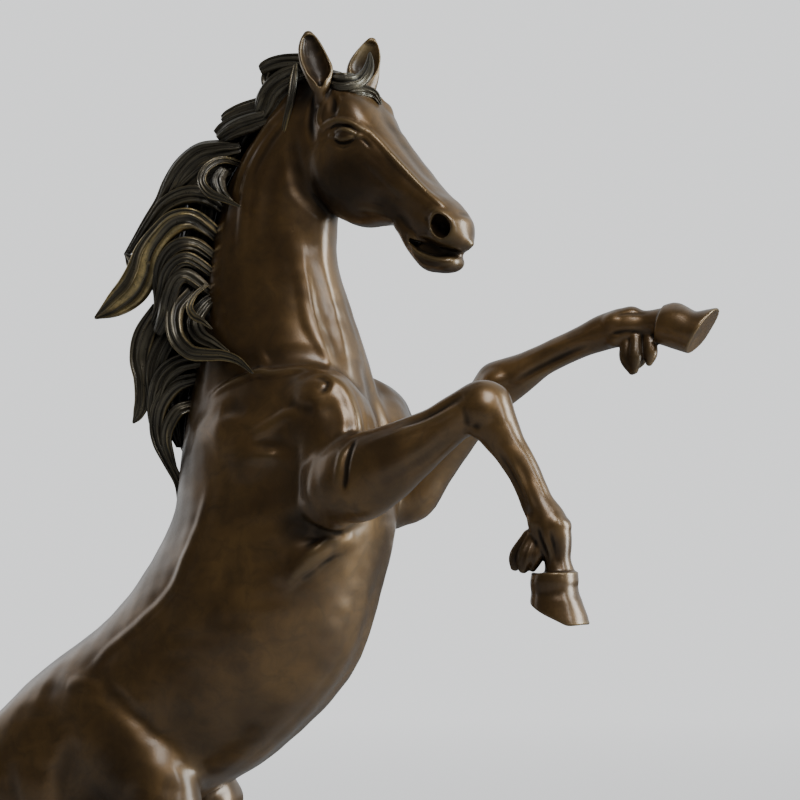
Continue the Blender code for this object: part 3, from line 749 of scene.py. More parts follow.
def hoof(clay, stations, top, back, soles):
    """A hoof: a body wider than its pastern, cut flat above the coronet and at the sole."""
    clay.add(trimmed(chain(stations), top, back), 1.6)
    for sole, normal in soles:
        clay.carve(beyond_plane(sole, normal, 24), 0.8)


def coronet(clay, centre, axis, wide, deep, radius, height):
    """A ridge, or a groove, round a hoof."""
    clay.stroke(ring(centre, axis, SIDEWAYS, wide, deep), radius, height, taper=False)


def forelegs(clay):
    for forearm, cannon in ((RIGHT_FOREARM, RIGHT_CANNON), (LEFT_FOREARM, LEFT_CANNON)):
        clay.add(chain(forearm), 4)
        clay.add(chain(cannon), 3)
    clay.soften(1.9, (128, -72, 310), (252, -28, 450))
    clay.soften(1.9, (128, 20, 380), (300, 66, 492))
    sculpt(clay, RIGHT_KNEE_MARKS)
    clay.soften(0.8, (184, -72, 330), (240, -40, 414), 5)
    sculpt(clay, RIGHT_FETLOCK_MARKS)
    feather(clay, [points(lobe) for lobe in (
        "212 -46 362, 207.5 -45 354, 206 -45.5 349", "211 -50 363, 206.5 -51.5 354, 205 -52 349",
        "216 -52 360, 214.5 -52.5 354, 213.5 -52.5 349", "213.5 -52 362, 210.8 -54 353.5, 209.5 -54 348",
    )], 4.0)
    clay.swell((230, -50, 368.5), (5, 8, 4), 1.0)
    hoof(clay, RIGHT_HOOF, (223.6, -50, 346.2), (-0.07, 0, 1),
         [((220, -50, 328.3), (-0.46, 0, -0.89)), ((233, -50, 322.4), (0.05, 0, -1))])
    coronet(clay, (223.5, -50, 342.5), DOWN, 11.4, 11.1, 3, 0.35)
    coronet(clay, (223.5, -50, 337), DOWN, 11.4, 11.1, 3.6, -0.45)
    sculpt(clay, LEFT_KNEE_MARKS)
    clay.soften(0.8, (170, 20, 430), (250, 62, 486), 5)
    sculpt(clay, LEFT_FETLOCK_MARKS)
    feather(clay, [points(lobe) for lobe in (
        "242 42 460, 243 42 452, 242 41 447", "237 37 460, 237.5 36 451, 240 36 444",
        "248 38 463, 249 37 454, 248.6 36.5 448", "242 36 460, 242 34.8 451.5, 241.5 35 444.5",
    )], 3.9)
    hoof(clay, LEFT_HOOF, (253.4, 38, 466.5), (-0.97, 0, 0.24), [((275.4, 36, 462.7), (0.81, -0.06, -0.58))])
    clay.swell((272, 38, 475), (7, 12, 5), -0.7)
    clay.swell((262, 38, 478), (6, 10, 5), 0.6)


def soften_side(clay, width, side, x, y, z, ramp=10.0):
    """Smooths a box on one side, given as ranges of x, of the distance from the middle and of z."""
    y = sorted(side * v for v in y)
    clay.soften(width, *zip(x, y, z), ramp)


def hind_leg(clay, side):
    """A hind leg on one side; the left one reaches further forward towards its hoof."""
    x = LEFT_HIND_REACH if side > 0 else 0

    def at(curve):
        placed = []
        for px, py, pz, *sizes in curve:
            share = min(max((HIP_HEIGHT - pz) / (HIP_HEIGHT - HOOF_HEIGHT), 0), 1)
            placed.append((px + x * share, side * py, pz, *sizes))
        return placed

    clay.add(chain(at(LEFT_THIGH if side > 0 else THIGH)), 9)
    clay.add(chain(at(HAMSTRING)), 9)
    clay.add(ball((-52, side * 24, 238), (44, 20, 36), axes((0.85, 0, -0.5))), 9)
    clay.add(ball((-8, side * 30, 212), (28, 14, 19), axes((0.9, 0, -0.35))), 8)
    clay.add(chain(at(LEFT_GASKIN if side > 0 else GASKIN)), 6)
    clay.add(chain(at(ACHILLES)), 3.5)
    clay.add(chain(at(HIND_CANNON)), 3)
    soften_side(clay, 1.1, side, (-70, 90), (6, 66), (40, 214))
    slices = [(fx + x, fz, bx + x, bz, w, -side * shift, k) for fx, fz, bx, bz, w, shift, k in HIND_HOOF]
    clay.add(loft(slices, 2.0, 5), 1.0)
    coronet(clay, (14.5 + x, side * 28, 73.5), (0.1, 0, -1), 11.4, 13.6, 2.4, 0.8)
    coronet(clay, (15.5 + x, side * 28, 69), (0.1, 0, -1), 11.8, 14.4, 2.4, -0.4)
    clay.carve(beyond_plane((18 + x, side * 28, 53.2), DOWN, 30), 0.6)
    tufts = [at([(-5, 30 + k, 93), (-11, 30 + 1.5 * k, 84), (-12, 30 + 1.5 * k, 76)]) for k in (-4, 0, 4)]
    feather(clay, tufts, 3.6)
    sculpt(clay, HIND_LEG_MARKS, at)
    soften_side(clay, 2.2, side, (4, 56), (28, 68), (206, 262), 8)


def trunk(clay):
    clay.add(loft(TRUNK, 2.25, 8))
    for side in (-1, 1):
        # shoulder blade and the upper arm in front of it
        clay.add(ball((76, side * 25.5, 410), (46, 17, 34), axes((0.96, side * 0.06, 0.2))), 7)
        clay.add(ball((106, side * 34, 418), (17, 13, 24), axes((0.95, 0, 0.3))), 11)
        clay.add(ball((111, side * 39.5, 391), (15, 13.5, 26), axes((1, 0, -0.12))), 11)
    sculpt(clay, TRUNK_MUSCLES, sides=(1, -1))
    clay.stroke(points("110 0 450, 119 0 436, 126 0 420, 129 0 400"), 9.5, -2.6)
    for side in (-1, 1):
        soften_side(clay, 2.6, side, (80, 120), (34, 64), (364, 424), 7)
    clay.stroke(points("14 0 430, 6 0 372, -32 0 318, -80 0 281"), 5, -0.8)


def by_hand(clay):
    """Two scales of unevenness, as a modeller's hand leaves them."""
    clay.work(0.035, (9, 28))
    clay.work(0.11, (35, 80), 9, 8)


def horse(low, high, cell):
    clay = Clay(low, high, cell)
    trunk(clay)
    for side in (-1, 1):
        hind_leg(clay, side)
    forelegs(clay)
    sculpt(clay, FOREARM_CREASES)
    by_hand(clay)
    return clay


# ---------------------------------------------------------------- the head in clay
POLL = np.array((96.0, -8.0, 592.0))
HEAD_TURN = math.radians(-15)
HEAD_ROTATION = np.array(Matrix.Rotation(HEAD_TURN, 3, "Z"))
HEAD_SIDEWAYS = HEAD_ROTATION @ SIDEWAYS
# From the poll to the upper lip, in the head's own plane, s forward and z up: upper s, z, lower
# s, z, half width, shift, skew, squareness.
SKULL = points("""
-15 1 -9 -54 15.5 0 0 2.2, -3 5 3 -68.5 18.4 0 0 2.2, 10 3 13 -74 19.3 0 0.05 2.3,
21 -6 22 -76.6 19.4 0 0.1 2.4, 31 -17.5 31 -76.4 17.8 0 0.15 2.5, 40 -31 38.5 -77 15.4 0 0.2 2.7,
49 -43 46.5 -80.5 13.6 0 0.25 2.9, 58 -53.5 53 -84.5 12.2 0 0.25 3.1, 66.6 -62.4 60 -87.5 11.4 0 0.2 3,
74 -68 66 -90 11 0 0.1 2.8, 79 -73.4 72 -92 10.4 0 0 2.6, 82.2 -79.5 77 -93 9 0 0 2.4,
83 -85 80 -92.5 5.5 0 0 2
""")
LOWER_JAW = points("""
47 0 -78 8.6 5.4, 54 0 -88 8.2 5.4, 60.5 0 -94.8 8.2 4.9, 67 0 -98 8.2 4.2, 72 0 -98.7 7.8 3.8,
74.4 0 -98.2 6.6 3.4
""")
MOUTH_GAP = points("""
54 0 -86.6 17 1.2, 60 0 -90.2 17 2.6, 68 0 -92.8 17 2.8, 76 0 -94 17 1.7, 84 0 -94.6 17 1.2
""")
RIGHT_EAR = points("""
97 -23 578 3.4 4.4, 97.5 -26.5 583 3.4 4.4, 98 -28.4 587 5.2 4.8, 97.2 -28.8 593 7.6 4.8,
95.2 -28.5 598 7.8 4.4, 93.2 -28 604 6.7 3.6, 92 -27.7 609 4.5 2.6, 91.2 -27.4 612 2.2 1.7
""")
LEFT_EAR = points("""
104 7 584 6 5, 106 7.6 590.5 7.6 5, 106.4 8 596.5 8.8 4.6, 107 8 602 9 4.2, 108.8 8 607.5 7.8 3.4,
110.6 8 612.5 5.2 2.4, 111.6 8 616 2.4 1.5
""")

# In the head's own frame. All but the middle and the chin are mirrored for the left side.
BROW_MARKS = """
cheek, brow, temple
13 -19 -54 : 25 10 22 1.8 1 0 0
22 -20 -33 : 10 6 7 -1.4 1 0 0
15 -18 -16 : 5.5 7 10 -2 1 0 0
43 -16 -53 : 14 9 8 -0.7 0.75 0 -0.65
24 -14 -18 : 11 9 10 1.1 1 0 0
7.5 -20 -28.5, 12 -21 -26.2, 18.4 -21.5 -25, 26 -20.5 -27, 33 -17 -32.5 : 2.4 1.9
13 -16 -7, 17 -17.5 -15, 18.5 -19 -22 : 2.6 0.8
10.5 -15 -8, 7.6 -18 -15.5, 6.2 -20 -23, 9 -20.5 -28.5 : 2.2 1.5
5 -17 -8, 2 -19 -16, 1 -20 -25, 3 -20 -35 : 4.4 -1.4
edge beside the bridge of the nose
28 -16 -27.5, 34 -15 -32, 41 -14.3 -38, 47 -13.6 -44.5, 53 -13 -50.5, 62 -11.8 -58.8, 71 -10.6 -67.3,
77 -9.2 -74 : 2.8 1.1
"""
MIDDLE_MARKS = """
38 0 -27 : 12 8 12 -0.9
48 0 -40 : 12 8 12 -0.9
58 0 -51 : 12 8 12 -0.9
28.5 10.5 -14 : 7 7 7 2.6
34.5 9 -27 : 7 7 7 -1
"""
CHEEK_MARKS = """
38 -15.5 -40, 48 -14 -50, 58 -12.6 -60, 66 -11.4 -68 : 4.4 -0.7
30 -17 -42, 38 -15.8 -50, 46 -14 -58, 54 -12.6 -66 : 3.6 0.7
30 -15 -66, 40 -12.5 -70, 50 -11 -76, 57 -10.5 -82 : 5 -1.1
24 -15 -70, 33 -13.5 -71, 41 -11.5 -74 : 3.6 0.7
"""
EYE_MARKS = """
lids
31.5 -18.6 -34.4, 28.5 -20.8 -30.8, 24 -22 -28.9, 19 -21.8 -28.9, 14.2 -20.4 -32.4 : 1.9 1.9
31.5 -18.6 -34.4, 27 -20.6 -35.8, 22 -21.2 -36.6, 17.5 -20.8 -35, 14.2 -20.4 -32.4 : 1.7 1.4
creases, inner corner
29 -20 -28.6, 24 -21.4 -26.9, 18 -21.4 -26.9, 13.5 -20.6 -29.4 : 1.1 -0.8
28 -20 -38, 22 -20.8 -39, 16 -20.4 -37 : 1.6 -0.6
31 -18.4 -35, 34 -17.4 -37.4, 36.5 -16.6 -40.5 : 1.6 -0.6
flare of the nostril
74 -11 -82 : 10 8 10 1.2 1 0 0
"""
LIP_MARKS = """
57 -10.5 -84.5, 65 -10.4 -87, 73 -9.4 -89.6, 80 -6.4 -91.6 : 1.8 0.8
56 -9.6 -91.4, 63 -8.8 -95.2, 70 -8.2 -96.9, 76 -5.6 -96.4 : 2 1.2
53 -11.4 -82, 56 -11.4 -85, 57.5 -10.8 -89 : 2.2 0.9
50.5 -11 -83, 53.5 -11 -87, 55.5 -10 -91 : 2.2 -0.8
60 -9.5 -97.5, 67 -9 -99, 74 -7.6 -99.6 : 1.8 -0.5
"""
CHIN_MARKS = """
60.5 0 -98 : 8 8 6 1.2
81 -8 -74.5, 82 0 -74, 81 8 -74.5 : 3.2 -0.6
"""
# In the world's frame: the cheek's edge over the throat.
THROAT_MARKS = """
81 -24 562, 82 -25 548, 86 -25 535, 93 -22 526, 102 -18 519 : 6 -1.7
84 12 556, 88 13 540, 95 12 526, 104 9 518 : 6 -1.7
"""


def in_head(curve):
    """Points written in the head's own frame, from the poll, as world millimetres."""
    return [(*(POLL + HEAD_ROTATION @ p[:3]), *p[3:]) for p in curve]


def sculpt_head(clay, marks, sides=(1,)):
    sculpt(clay, marks, in_head, HEAD_ROTATION, sides)


def skull(clay):
    place = np.eye(4)
    place[:3, :3] = HEAD_ROTATION.T
    place[:3, 3] = -HEAD_ROTATION.T @ POLL
    clay.add(loft(SKULL, 2.3, 8, place), 5)
    clay.add(chain(in_head(LOWER_JAW), HEAD_SIDEWAYS), 4)
    lip, under = in_head([(73, 0, -81), (76.4, 0, -86.5)])
    clay.add(ball(lip, (9.4, 11.5, 9)), 3)
    clay.add(ball(under, (6.4, 9, 6)), 2.5)


def eyeball(clay, side):
    socket, ball_centre = in_head([(22.4, side * 20.5, -33), (22.4, side * 16.2, -32.9)])
    clay.swell(socket, (9, 6, 6), -2.2)
    turn = axes(HEAD_ROTATION @ (0.99, 0, -0.12), HEAD_SIDEWAYS)
    clay.add(ball(ball_centre, (6.4, 5, 4.2), turn), 0.8)


def nostril(clay, side):
    """The hollow of a nostril, its rim and the folds round it."""
    way = HEAD_ROTATION @ (0.35, side * 0.93, 0.05)
    long = HEAD_ROTATION @ (0.5, 0, -0.86)
    hollow = [(75.6, side * 17, -81.2, 6.6, 5.2), (73, side * 10, -81.7, 6.2, 4.9),
              (71.5, side * 5.5, -82.2, 3.8, 2.8)]
    clay.carve(chain(in_head(hollow), long), 0.7)
    centre, = in_head([(73.2, side * 11.2, -81.7)])
    clay.stroke(ring(centre, way, long, 7.1, 5.9), 1.6, 0.8, taper=False)
    above = [(66, side * 11.6, -73.5), (71, side * 11.2, -73.6), (76, side * 9.6, -75.6)]
    behind = [(64, side * 11.6, -76), (67, side * 11.6, -80), (69, side * 11.4, -86)]
    clay.stroke(in_head(above), 2.2, 0.7)
    clay.stroke(in_head(behind), 2.6, -0.8)


def face(clay):
    both = (1, -1)
    sculpt_head(clay, BROW_MARKS, both)
    sculpt_head(clay, MIDDLE_MARKS)
    sculpt_head(clay, CHEEK_MARKS, both)
    for side in (-1, 1):
        eyeball(clay, side)
    sculpt_head(clay, EYE_MARKS, both)
    for side in (-1, 1):
        nostril(clay, side)
    # a wedge between the lips, not open right through
    clay.carve(chain(in_head(MOUTH_GAP), HEAD_SIDEWAYS), 0.7)
    clay.add(ball(in_head([(66, 0, -92)])[0], (12, 4.8, 7)), 0.6)
    sculpt_head(clay, LIP_MARKS, both)
    sculpt_head(clay, CHIN_MARKS)


def ear(clay, stations, side, opening):
    """A leaf-shaped ear: a tapered body, hollowed from the side it opens to, with a raised rim."""
    opening = unit(opening)
    side = unit(side)
    clay.add(chain(stations, side), 1.6)
    inner = [(*(s[:3] + opening * s[4] * 0.75), s[3] * 0.80, s[4] * 1.0) for s in stations[2:-1]]
    inner[0] = (*inner[0][:3], inner[0][3] * 0.5, inner[0][4] * 0.7)
    clay.carve(chain(inner, side), 0.5)
    for way in (-1, 1):
        rim = [s[:3] + side * way * s[3] * 0.88 + opening * s[4] * 0.4 for s in stations[1:-1]]
        clay.stroke(rim, 1.3, 0.5)


# Places painted dark, x, y, z, reach and how dark: dark patina with painted shade in the ears, eyes, nostrils
# and mouth, and painted shade and shadow where light falls dimly, as on the back under the mane, the armpit,
# the cheek, the thigh and the cannons.
DARK_PATINA_AND_SHADE = [(*station[:3], station[3] * 1.15, 0.95) for station in RIGHT_EAR[3:7] + LEFT_EAR[2:6]]
DARK_PATINA_AND_SHADE += in_head(points("""
23 -19 -33 11 0.7, 23 19 -33 11 0.7, 66 -4 -92 14 0.8, 6 -18 -18 9 0.6, 73 -9 -81.7 6.5 1,
73 9 -81.7 6.5 1, 4 -18 -62 22 0.75, 42 -12 -72 14 0.65, 22 -20 -56 24 0.75, 24 -14 -17 10 0.4,
76 -6 -88 13 0.55, 70 0 -99 12 0.65, 70 -10 -74 8 0.3
"""))
DARK_PATINA_AND_SHADE += points("""
92 -42 366 12 0.8, 105 -38 364 10 0.8, 84 -20 585 14 0.9, 2 -40 248 26 0.5, 34 -42 262 30 0.35,
60 -40 262 24 0.3, 36 -36 236 22 0.5, -10 -44 222 34 0.6, 122 -30 372 14 0.5, 16 -24 425 26 0.6,
14 -20 450 22 0.6, 14 -30 402 28 0.85, 10 -30 376 26 0.65, 0 -28 348 24 0.35, 208 -50 393 11 0.45,
215 -51 377 10 0.45, 225 -51 355 10 0.5, 208 -51 354 12 0.85, 241 37 451 13 0.85, 252 37 463 7 0.6
""")


def horse_with_head(low, high, cell):
    """The same clay as horse, but with the head in place of the legs."""
    clay = Clay(low, high, cell)
    trunk(clay)
    skull(clay)
    sculpt(clay, THROAT_MARKS)
    face(clay)
    ear(clay, RIGHT_EAR, (0.92, 0.38, 0), (0.40, -0.92, 0.05))
    ear(clay, LEFT_EAR, (0.84, 0.54, 0.05), (0.54, -0.84, 0.05))
    clay.soften(1.0, (160, -50, 484), (192, -8, 514), 5)
    by_hand(clay)
    return clay


# ---------------------------------------------------------------- castings
def linked(name, data):
    made = bpy.data.objects.new(name, data)
    bpy.context.scene.collection.objects.link(made)
    return made


def add_piece(name, mesh, material, node):
    """An object of the visual model that stands for one of the CAD's nodes."""
    mesh.materials.append(material)
    made = linked(name, mesh)
    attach(made, "root")
    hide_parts(node)


def cut_away(mesh, point, normal, box=None):
    """Removes what lies beyond a plane, everywhere or only inside a box, and closes the cut."""
    bm = bmesh.new()
    bm.from_mesh(mesh)
    if box is None:
        geometry = bm.verts[:] + bm.edges[:] + bm.faces[:]
    else:
        low, high = (Vector(corner) * MM for corner in box)
        chosen = {v for v in bm.verts if all(l <= c <= h for l, c, h in zip(low, v.co, high))}
        faces = [f for f in bm.faces if any(v in chosen for v in f.verts)]
        verts = dict.fromkeys(v for f in faces for v in f.verts)
        edges = dict.fromkeys(e for f in faces for e in f.edges)
        geometry = [*verts, *edges, *faces]
    bmesh.ops.bisect_plane(
        bm, geom=geometry, plane_co=Vector(point) * MM, plane_no=Vector(normal).normalized(),
        clear_outer=True, dist=1e-7,
    )
    bmesh.ops.holes_fill(bm, edges=[e for e in bm.edges if e.is_boundary], sides=0)
    bm.to_mesh(mesh)
    bm.free()


def read(items, field, size=1, kind=np.float32):
    """A field of all of a mesh's vertices, loops or faces, as rows of size numbers."""
    values = np.zeros(len(items) * size, kind)
    items.foreach_get(field, values)
    return values.reshape(-1, size) if size > 1 else values


def finish_casting(name, mesh, node):
    """Shades a casting with the clay's own slopes, so that neighbours meet without a seam."""
    mesh.shade_smooth()
    facing = read(mesh.attributes["facing"].data, "vector", 3)
    normals = facing[read(mesh.loops, "vertex_index", kind=np.int32)]
    flat = read(mesh.polygons, "normal", 3)
    starts = read(mesh.polygons, "loop_start", kind=np.int32)
    totals = read(mesh.polygons, "loop_total", kind=np.int32)
    for i in np.nonzero(totals > 8)[0]:
        normals[starts[i]:starts[i] + totals[i]] = flat[i]
    lengths = np.linalg.norm(normals, axis=1, keepdims=True)
    mesh.normals_split_custom_set(normals / np.maximum(lengths, 1e-9))
    mesh.attributes.remove(mesh.attributes["facing"])
    add_piece(name, mesh, BRONZE, node)


# ---------------------------------------------------------------- materials
class Nodes:
    """A short way to write a node tree."""

    def __init__(self, tree):
        self.tree = tree
        self.place = self.node("ShaderNodeTexCoord").outputs["Object"]

    def node(self, kind, inputs=(), **settings):
        made = self.tree.nodes.new(kind)
        for key, value in settings.items():
            setattr(made, key, value)
        for key, value in dict(inputs).items():
            self.put(value, made.inputs[key])
        return made

    def put(self, value, socket):
        if isinstance(value, bpy.types.NodeSocket):
            self.tree.links.new(value, socket)
        else:
            socket.default_value = value

    def attribute(self, name):
        return self.node("ShaderNodeAttribute", attribute_name=name).outputs["Fac"]

    def noise(self, scale, detail=4.0, rough=0.55, warp=0.0):
        settings = {"Vector": self.place, "Scale": scale, "Detail": detail, "Roughness": rough}
        return self.node("ShaderNodeTexNoise", settings | {"Distortion": warp}).outputs["Fac"]

    def ambient_occlusion(self, distance):
        return self.node("ShaderNodeAmbientOcclusion", {"Distance": distance}, samples=8).outputs["AO"]

    def remap(self, value, low, high, to_low=0.0, to_high=1.0, **settings):
        ranges = {"Value": value, "From Min": low, "From Max": high, "To Min": to_low, "To Max": to_high}
        return self.node("ShaderNodeMapRange", ranges, **settings).outputs["Result"]

    def math(self, operation, a, b=0.0):
        return self.node("ShaderNodeMath", {0: a, 1: b}, operation=operation).outputs[0]

    def times(self, a, b):
        return self.math("MULTIPLY", a, b)

    def mix(self, share, a, b):
        return self.node("ShaderNodeMix", data_type="RGBA", inputs={"Factor": share, 6: a, 7: b}).outputs[2]

    def bump(self, height, distance, strength=1.0, normal=None):
        inputs = {"Height": height, "Distance": distance, "Strength": strength}
        if normal is not None:
            inputs["Normal"] = normal
        return self.node("ShaderNodeBump", inputs).outputs["Normal"]


def new_material(name):
    """A material's node writer, and a function that sets its shader and gives the material."""
    material = bpy.data.materials.new(name)
    material.use_nodes = True
    nodes = Nodes(material.node_tree)

    def finish(**values):
        for key, value in values.items():
            nodes.put(value, nodes.tree.nodes["Principled BSDF"].inputs[key.replace("_", " ")])
        return material

    return nodes, finish


def patina():
    """Brown-black patina over bronze: darker in hollows, partly as dark patina and partly as painted shade
    from ambient occlusion and listed spots; rubbed golden on ridges, lacquered.
    """
    n, finish = new_material("bronze_patina")
    broad = n.noise(28, 3, 0.5, 0.4)
    mottle = n.noise(95, 5, 0.62, 0.8)
    speck = n.noise(700, 2, 0.5)
    base = n.mix(n.remap(broad, 0.35, 0.68), (0.150, 0.081, 0.027, 1), (0.275, 0.153, 0.049, 1))
    base = n.mix(n.remap(mottle, 0.42, 0.7, 0.0, 0.5), base, (0.090, 0.055, 0.023, 1))
    fine = n.attribute("fine")
    wide = n.attribute("broad")
    # The hollow mask darkens the colour: dark patina where the clay curves inward, painted shade where
    # ambient occlusion finds a surface sheltered, and painted shade and shadow at the listed dark spots.
    hollow = n.math("MAXIMUM", n.remap(fine, -0.03, -0.22), n.remap(wide, -0.06, -0.34, 0, 0.7))
    hollow = n.math("MAXIMUM", hollow, n.times(n.remap(n.ambient_occlusion(0.022), 0.80, 0.30), 0.95))
    hollow = n.math("MAXIMUM", hollow, n.attribute("dark"))
    base = n.mix(n.times(hollow, 0.88), base, (0.010, 0.008, 0.006, 1))
    worn = n.times(n.remap(fine, 0.10, 0.40), n.remap(mottle, 0.3, 0.6, 0.4, 1.0))
    base = n.mix(n.times(worn, 0.4), base, (0.40, 0.28, 0.12, 1))
    rough = n.remap(broad, 0.3, 0.7, 0.30, 0.42)
    rough = n.math("ADD", rough, n.remap(speck, 0.45, 0.75, 0.0, 0.08))
    rough = n.math("ADD", rough, n.times(hollow, 0.2))
    normal = n.bump(n.noise(60, 2, 0.4), 0.00045, 0.5)
    normal = n.bump(n.noise(420, 4, 0.6), 0.00003, 0.6, normal)
    pits = n.node("ShaderNodeTexVoronoi", {"Vector": n.place, "Scale": 260.0, "Randomness": 1.0})
    rare = n.remap(n.noise(120, 2), 0.62, 0.7)
    pit = n.times(n.remap(pits.outputs["Distance"], 0.22, 0.05), rare)
    normal = n.bump(n.times(pit, -1.0), 0.00015, 0.5, normal)
    coat = n.remap(hollow, 0.2, 1.0, 1.0, 0.15)
    return finish(
        Base_Color=base, Metallic=0.6, Roughness=rough, Normal=normal,
        Coat_Weight=coat, Coat_Roughness=0.25, Coat_IOR=1.6,
    )


def hair_bronze():
    """Near-black patina in the valleys between strands, painted shade from ambient occlusion in the sheltered
    gaps, rubbed golden along edges and ridges.
    """
    n, finish = new_material("bronze_hair")
    rub = n.attribute("rub")
    patch = n.noise(48, 3, 0.5, 0.5)
    fleck = n.noise(520, 3, 0.6)
    lanes = {"W": n.attribute("lane"), "Scale": 1.1, "Detail": 3.0}
    thread = n.node("ShaderNodeTexNoise", noise_dimensions="1D", inputs=lanes).outputs["Fac"]
    base = n.mix(n.remap(patch, 0.35, 0.65), (0.100, 0.087, 0.062, 1), (0.195, 0.167, 0.110, 1))
    base = n.mix(n.remap(thread, 0.55, 0.35, 0, 0.5), base, (0.012, 0.010, 0.008, 1))
    base = n.mix(n.remap(rub, 0.02, -0.6, 0, 0.85), base, (0.009, 0.008, 0.007, 1))
    worn = n.times(n.remap(rub, 0.32, 1.0), n.remap(patch, 0.34, 0.60, 0.25, 1.0))
    worn = n.times(worn, n.remap(fleck, 0.3, 0.6, 0.55, 1.0))
    base = n.mix(worn, base, (0.84, 0.63, 0.27, 1))
    # Painted shade: near black where ambient occlusion finds the hair sheltered, in the gaps between locks.
    base = n.mix(n.remap(n.ambient_occlusion(0.012), 0.75, 0.25, 0, 0.9), base, (0.006, 0.005, 0.005, 1))
    rough = n.remap(fleck, 0.3, 0.7, 0.26, 0.40)
    normal = n.bump(thread, 0.0004, 0.7)
    normal = n.bump(n.noise(380, 4, 0.65), 0.00010, 0.6, normal)
    return finish(
        Base_Color=base, Metallic=n.remap(worn, 0, 0.6, 0.6, 0.95), Roughness=rough, Normal=normal,
        Coat_Weight=0.5, Coat_Roughness=0.2, Coat_IOR=1.5,
    )


def marble():
    """Black polished marble with fine pale veins."""
    n, finish = new_material("black_marble")
    cloud = n.noise(9, 6, 0.6, 1.5)
    vein = n.noise(5, 8, 0.62, 2.4)
    thin = n.math("ABSOLUTE", n.math("SUBTRACT", vein, 0.5))
    strong = n.times(n.remap(thin, 0.010, 0.0), n.remap(cloud, 0.42, 0.66))
    base = n.mix(n.remap(cloud, 0.3, 0.7), (0.006, 0.006, 0.007, 1), (0.022, 0.022, 0.024, 1))
    base = n.mix(strong, base, (0.55, 0.54, 0.50, 1))
    normal = n.bump(n.noise(300, 2), 0.00002, 0.4)
    rough = n.remap(n.noise(70, 4), 0.3, 0.7, 0.07, 0.16)
    return finish(Base_Color=base, Roughness=rough, Normal=normal, Specular_IOR_Level=0.55)


def felt():
    """Dark green felt: matted fibres."""
    n, finish = new_material("green_felt")
    fibre = n.noise(1800, 5, 0.7, 1.2)
    base = n.mix(fibre, (0.012, 0.045, 0.022, 1), (0.035, 0.10, 0.05, 1))
    return finish(Base_Color=base, Roughness=0.95, Normal=n.bump(fibre, 0.0003), Sheen_Weight=0.4)


def metal(name, dark, light, rough):
    """Machined metal with smudges and dulled patches."""
    n, finish = new_material(name)
    smudge = n.noise(160, 4, 0.6, 0.6)
    grain = n.noise(1500, 3, 0.6)
    base = n.mix(n.remap(smudge, 0.35, 0.68), dark, light)
    shine = n.remap(smudge, 0.3, 0.7, rough, rough + 0.22)
    return finish(Base_Color=base, Metallic=1.0, Roughness=shine, Normal=n.bump(grain, 0.00003, 0.7))


BRONZE = patina()
HAIR = hair_bronze()


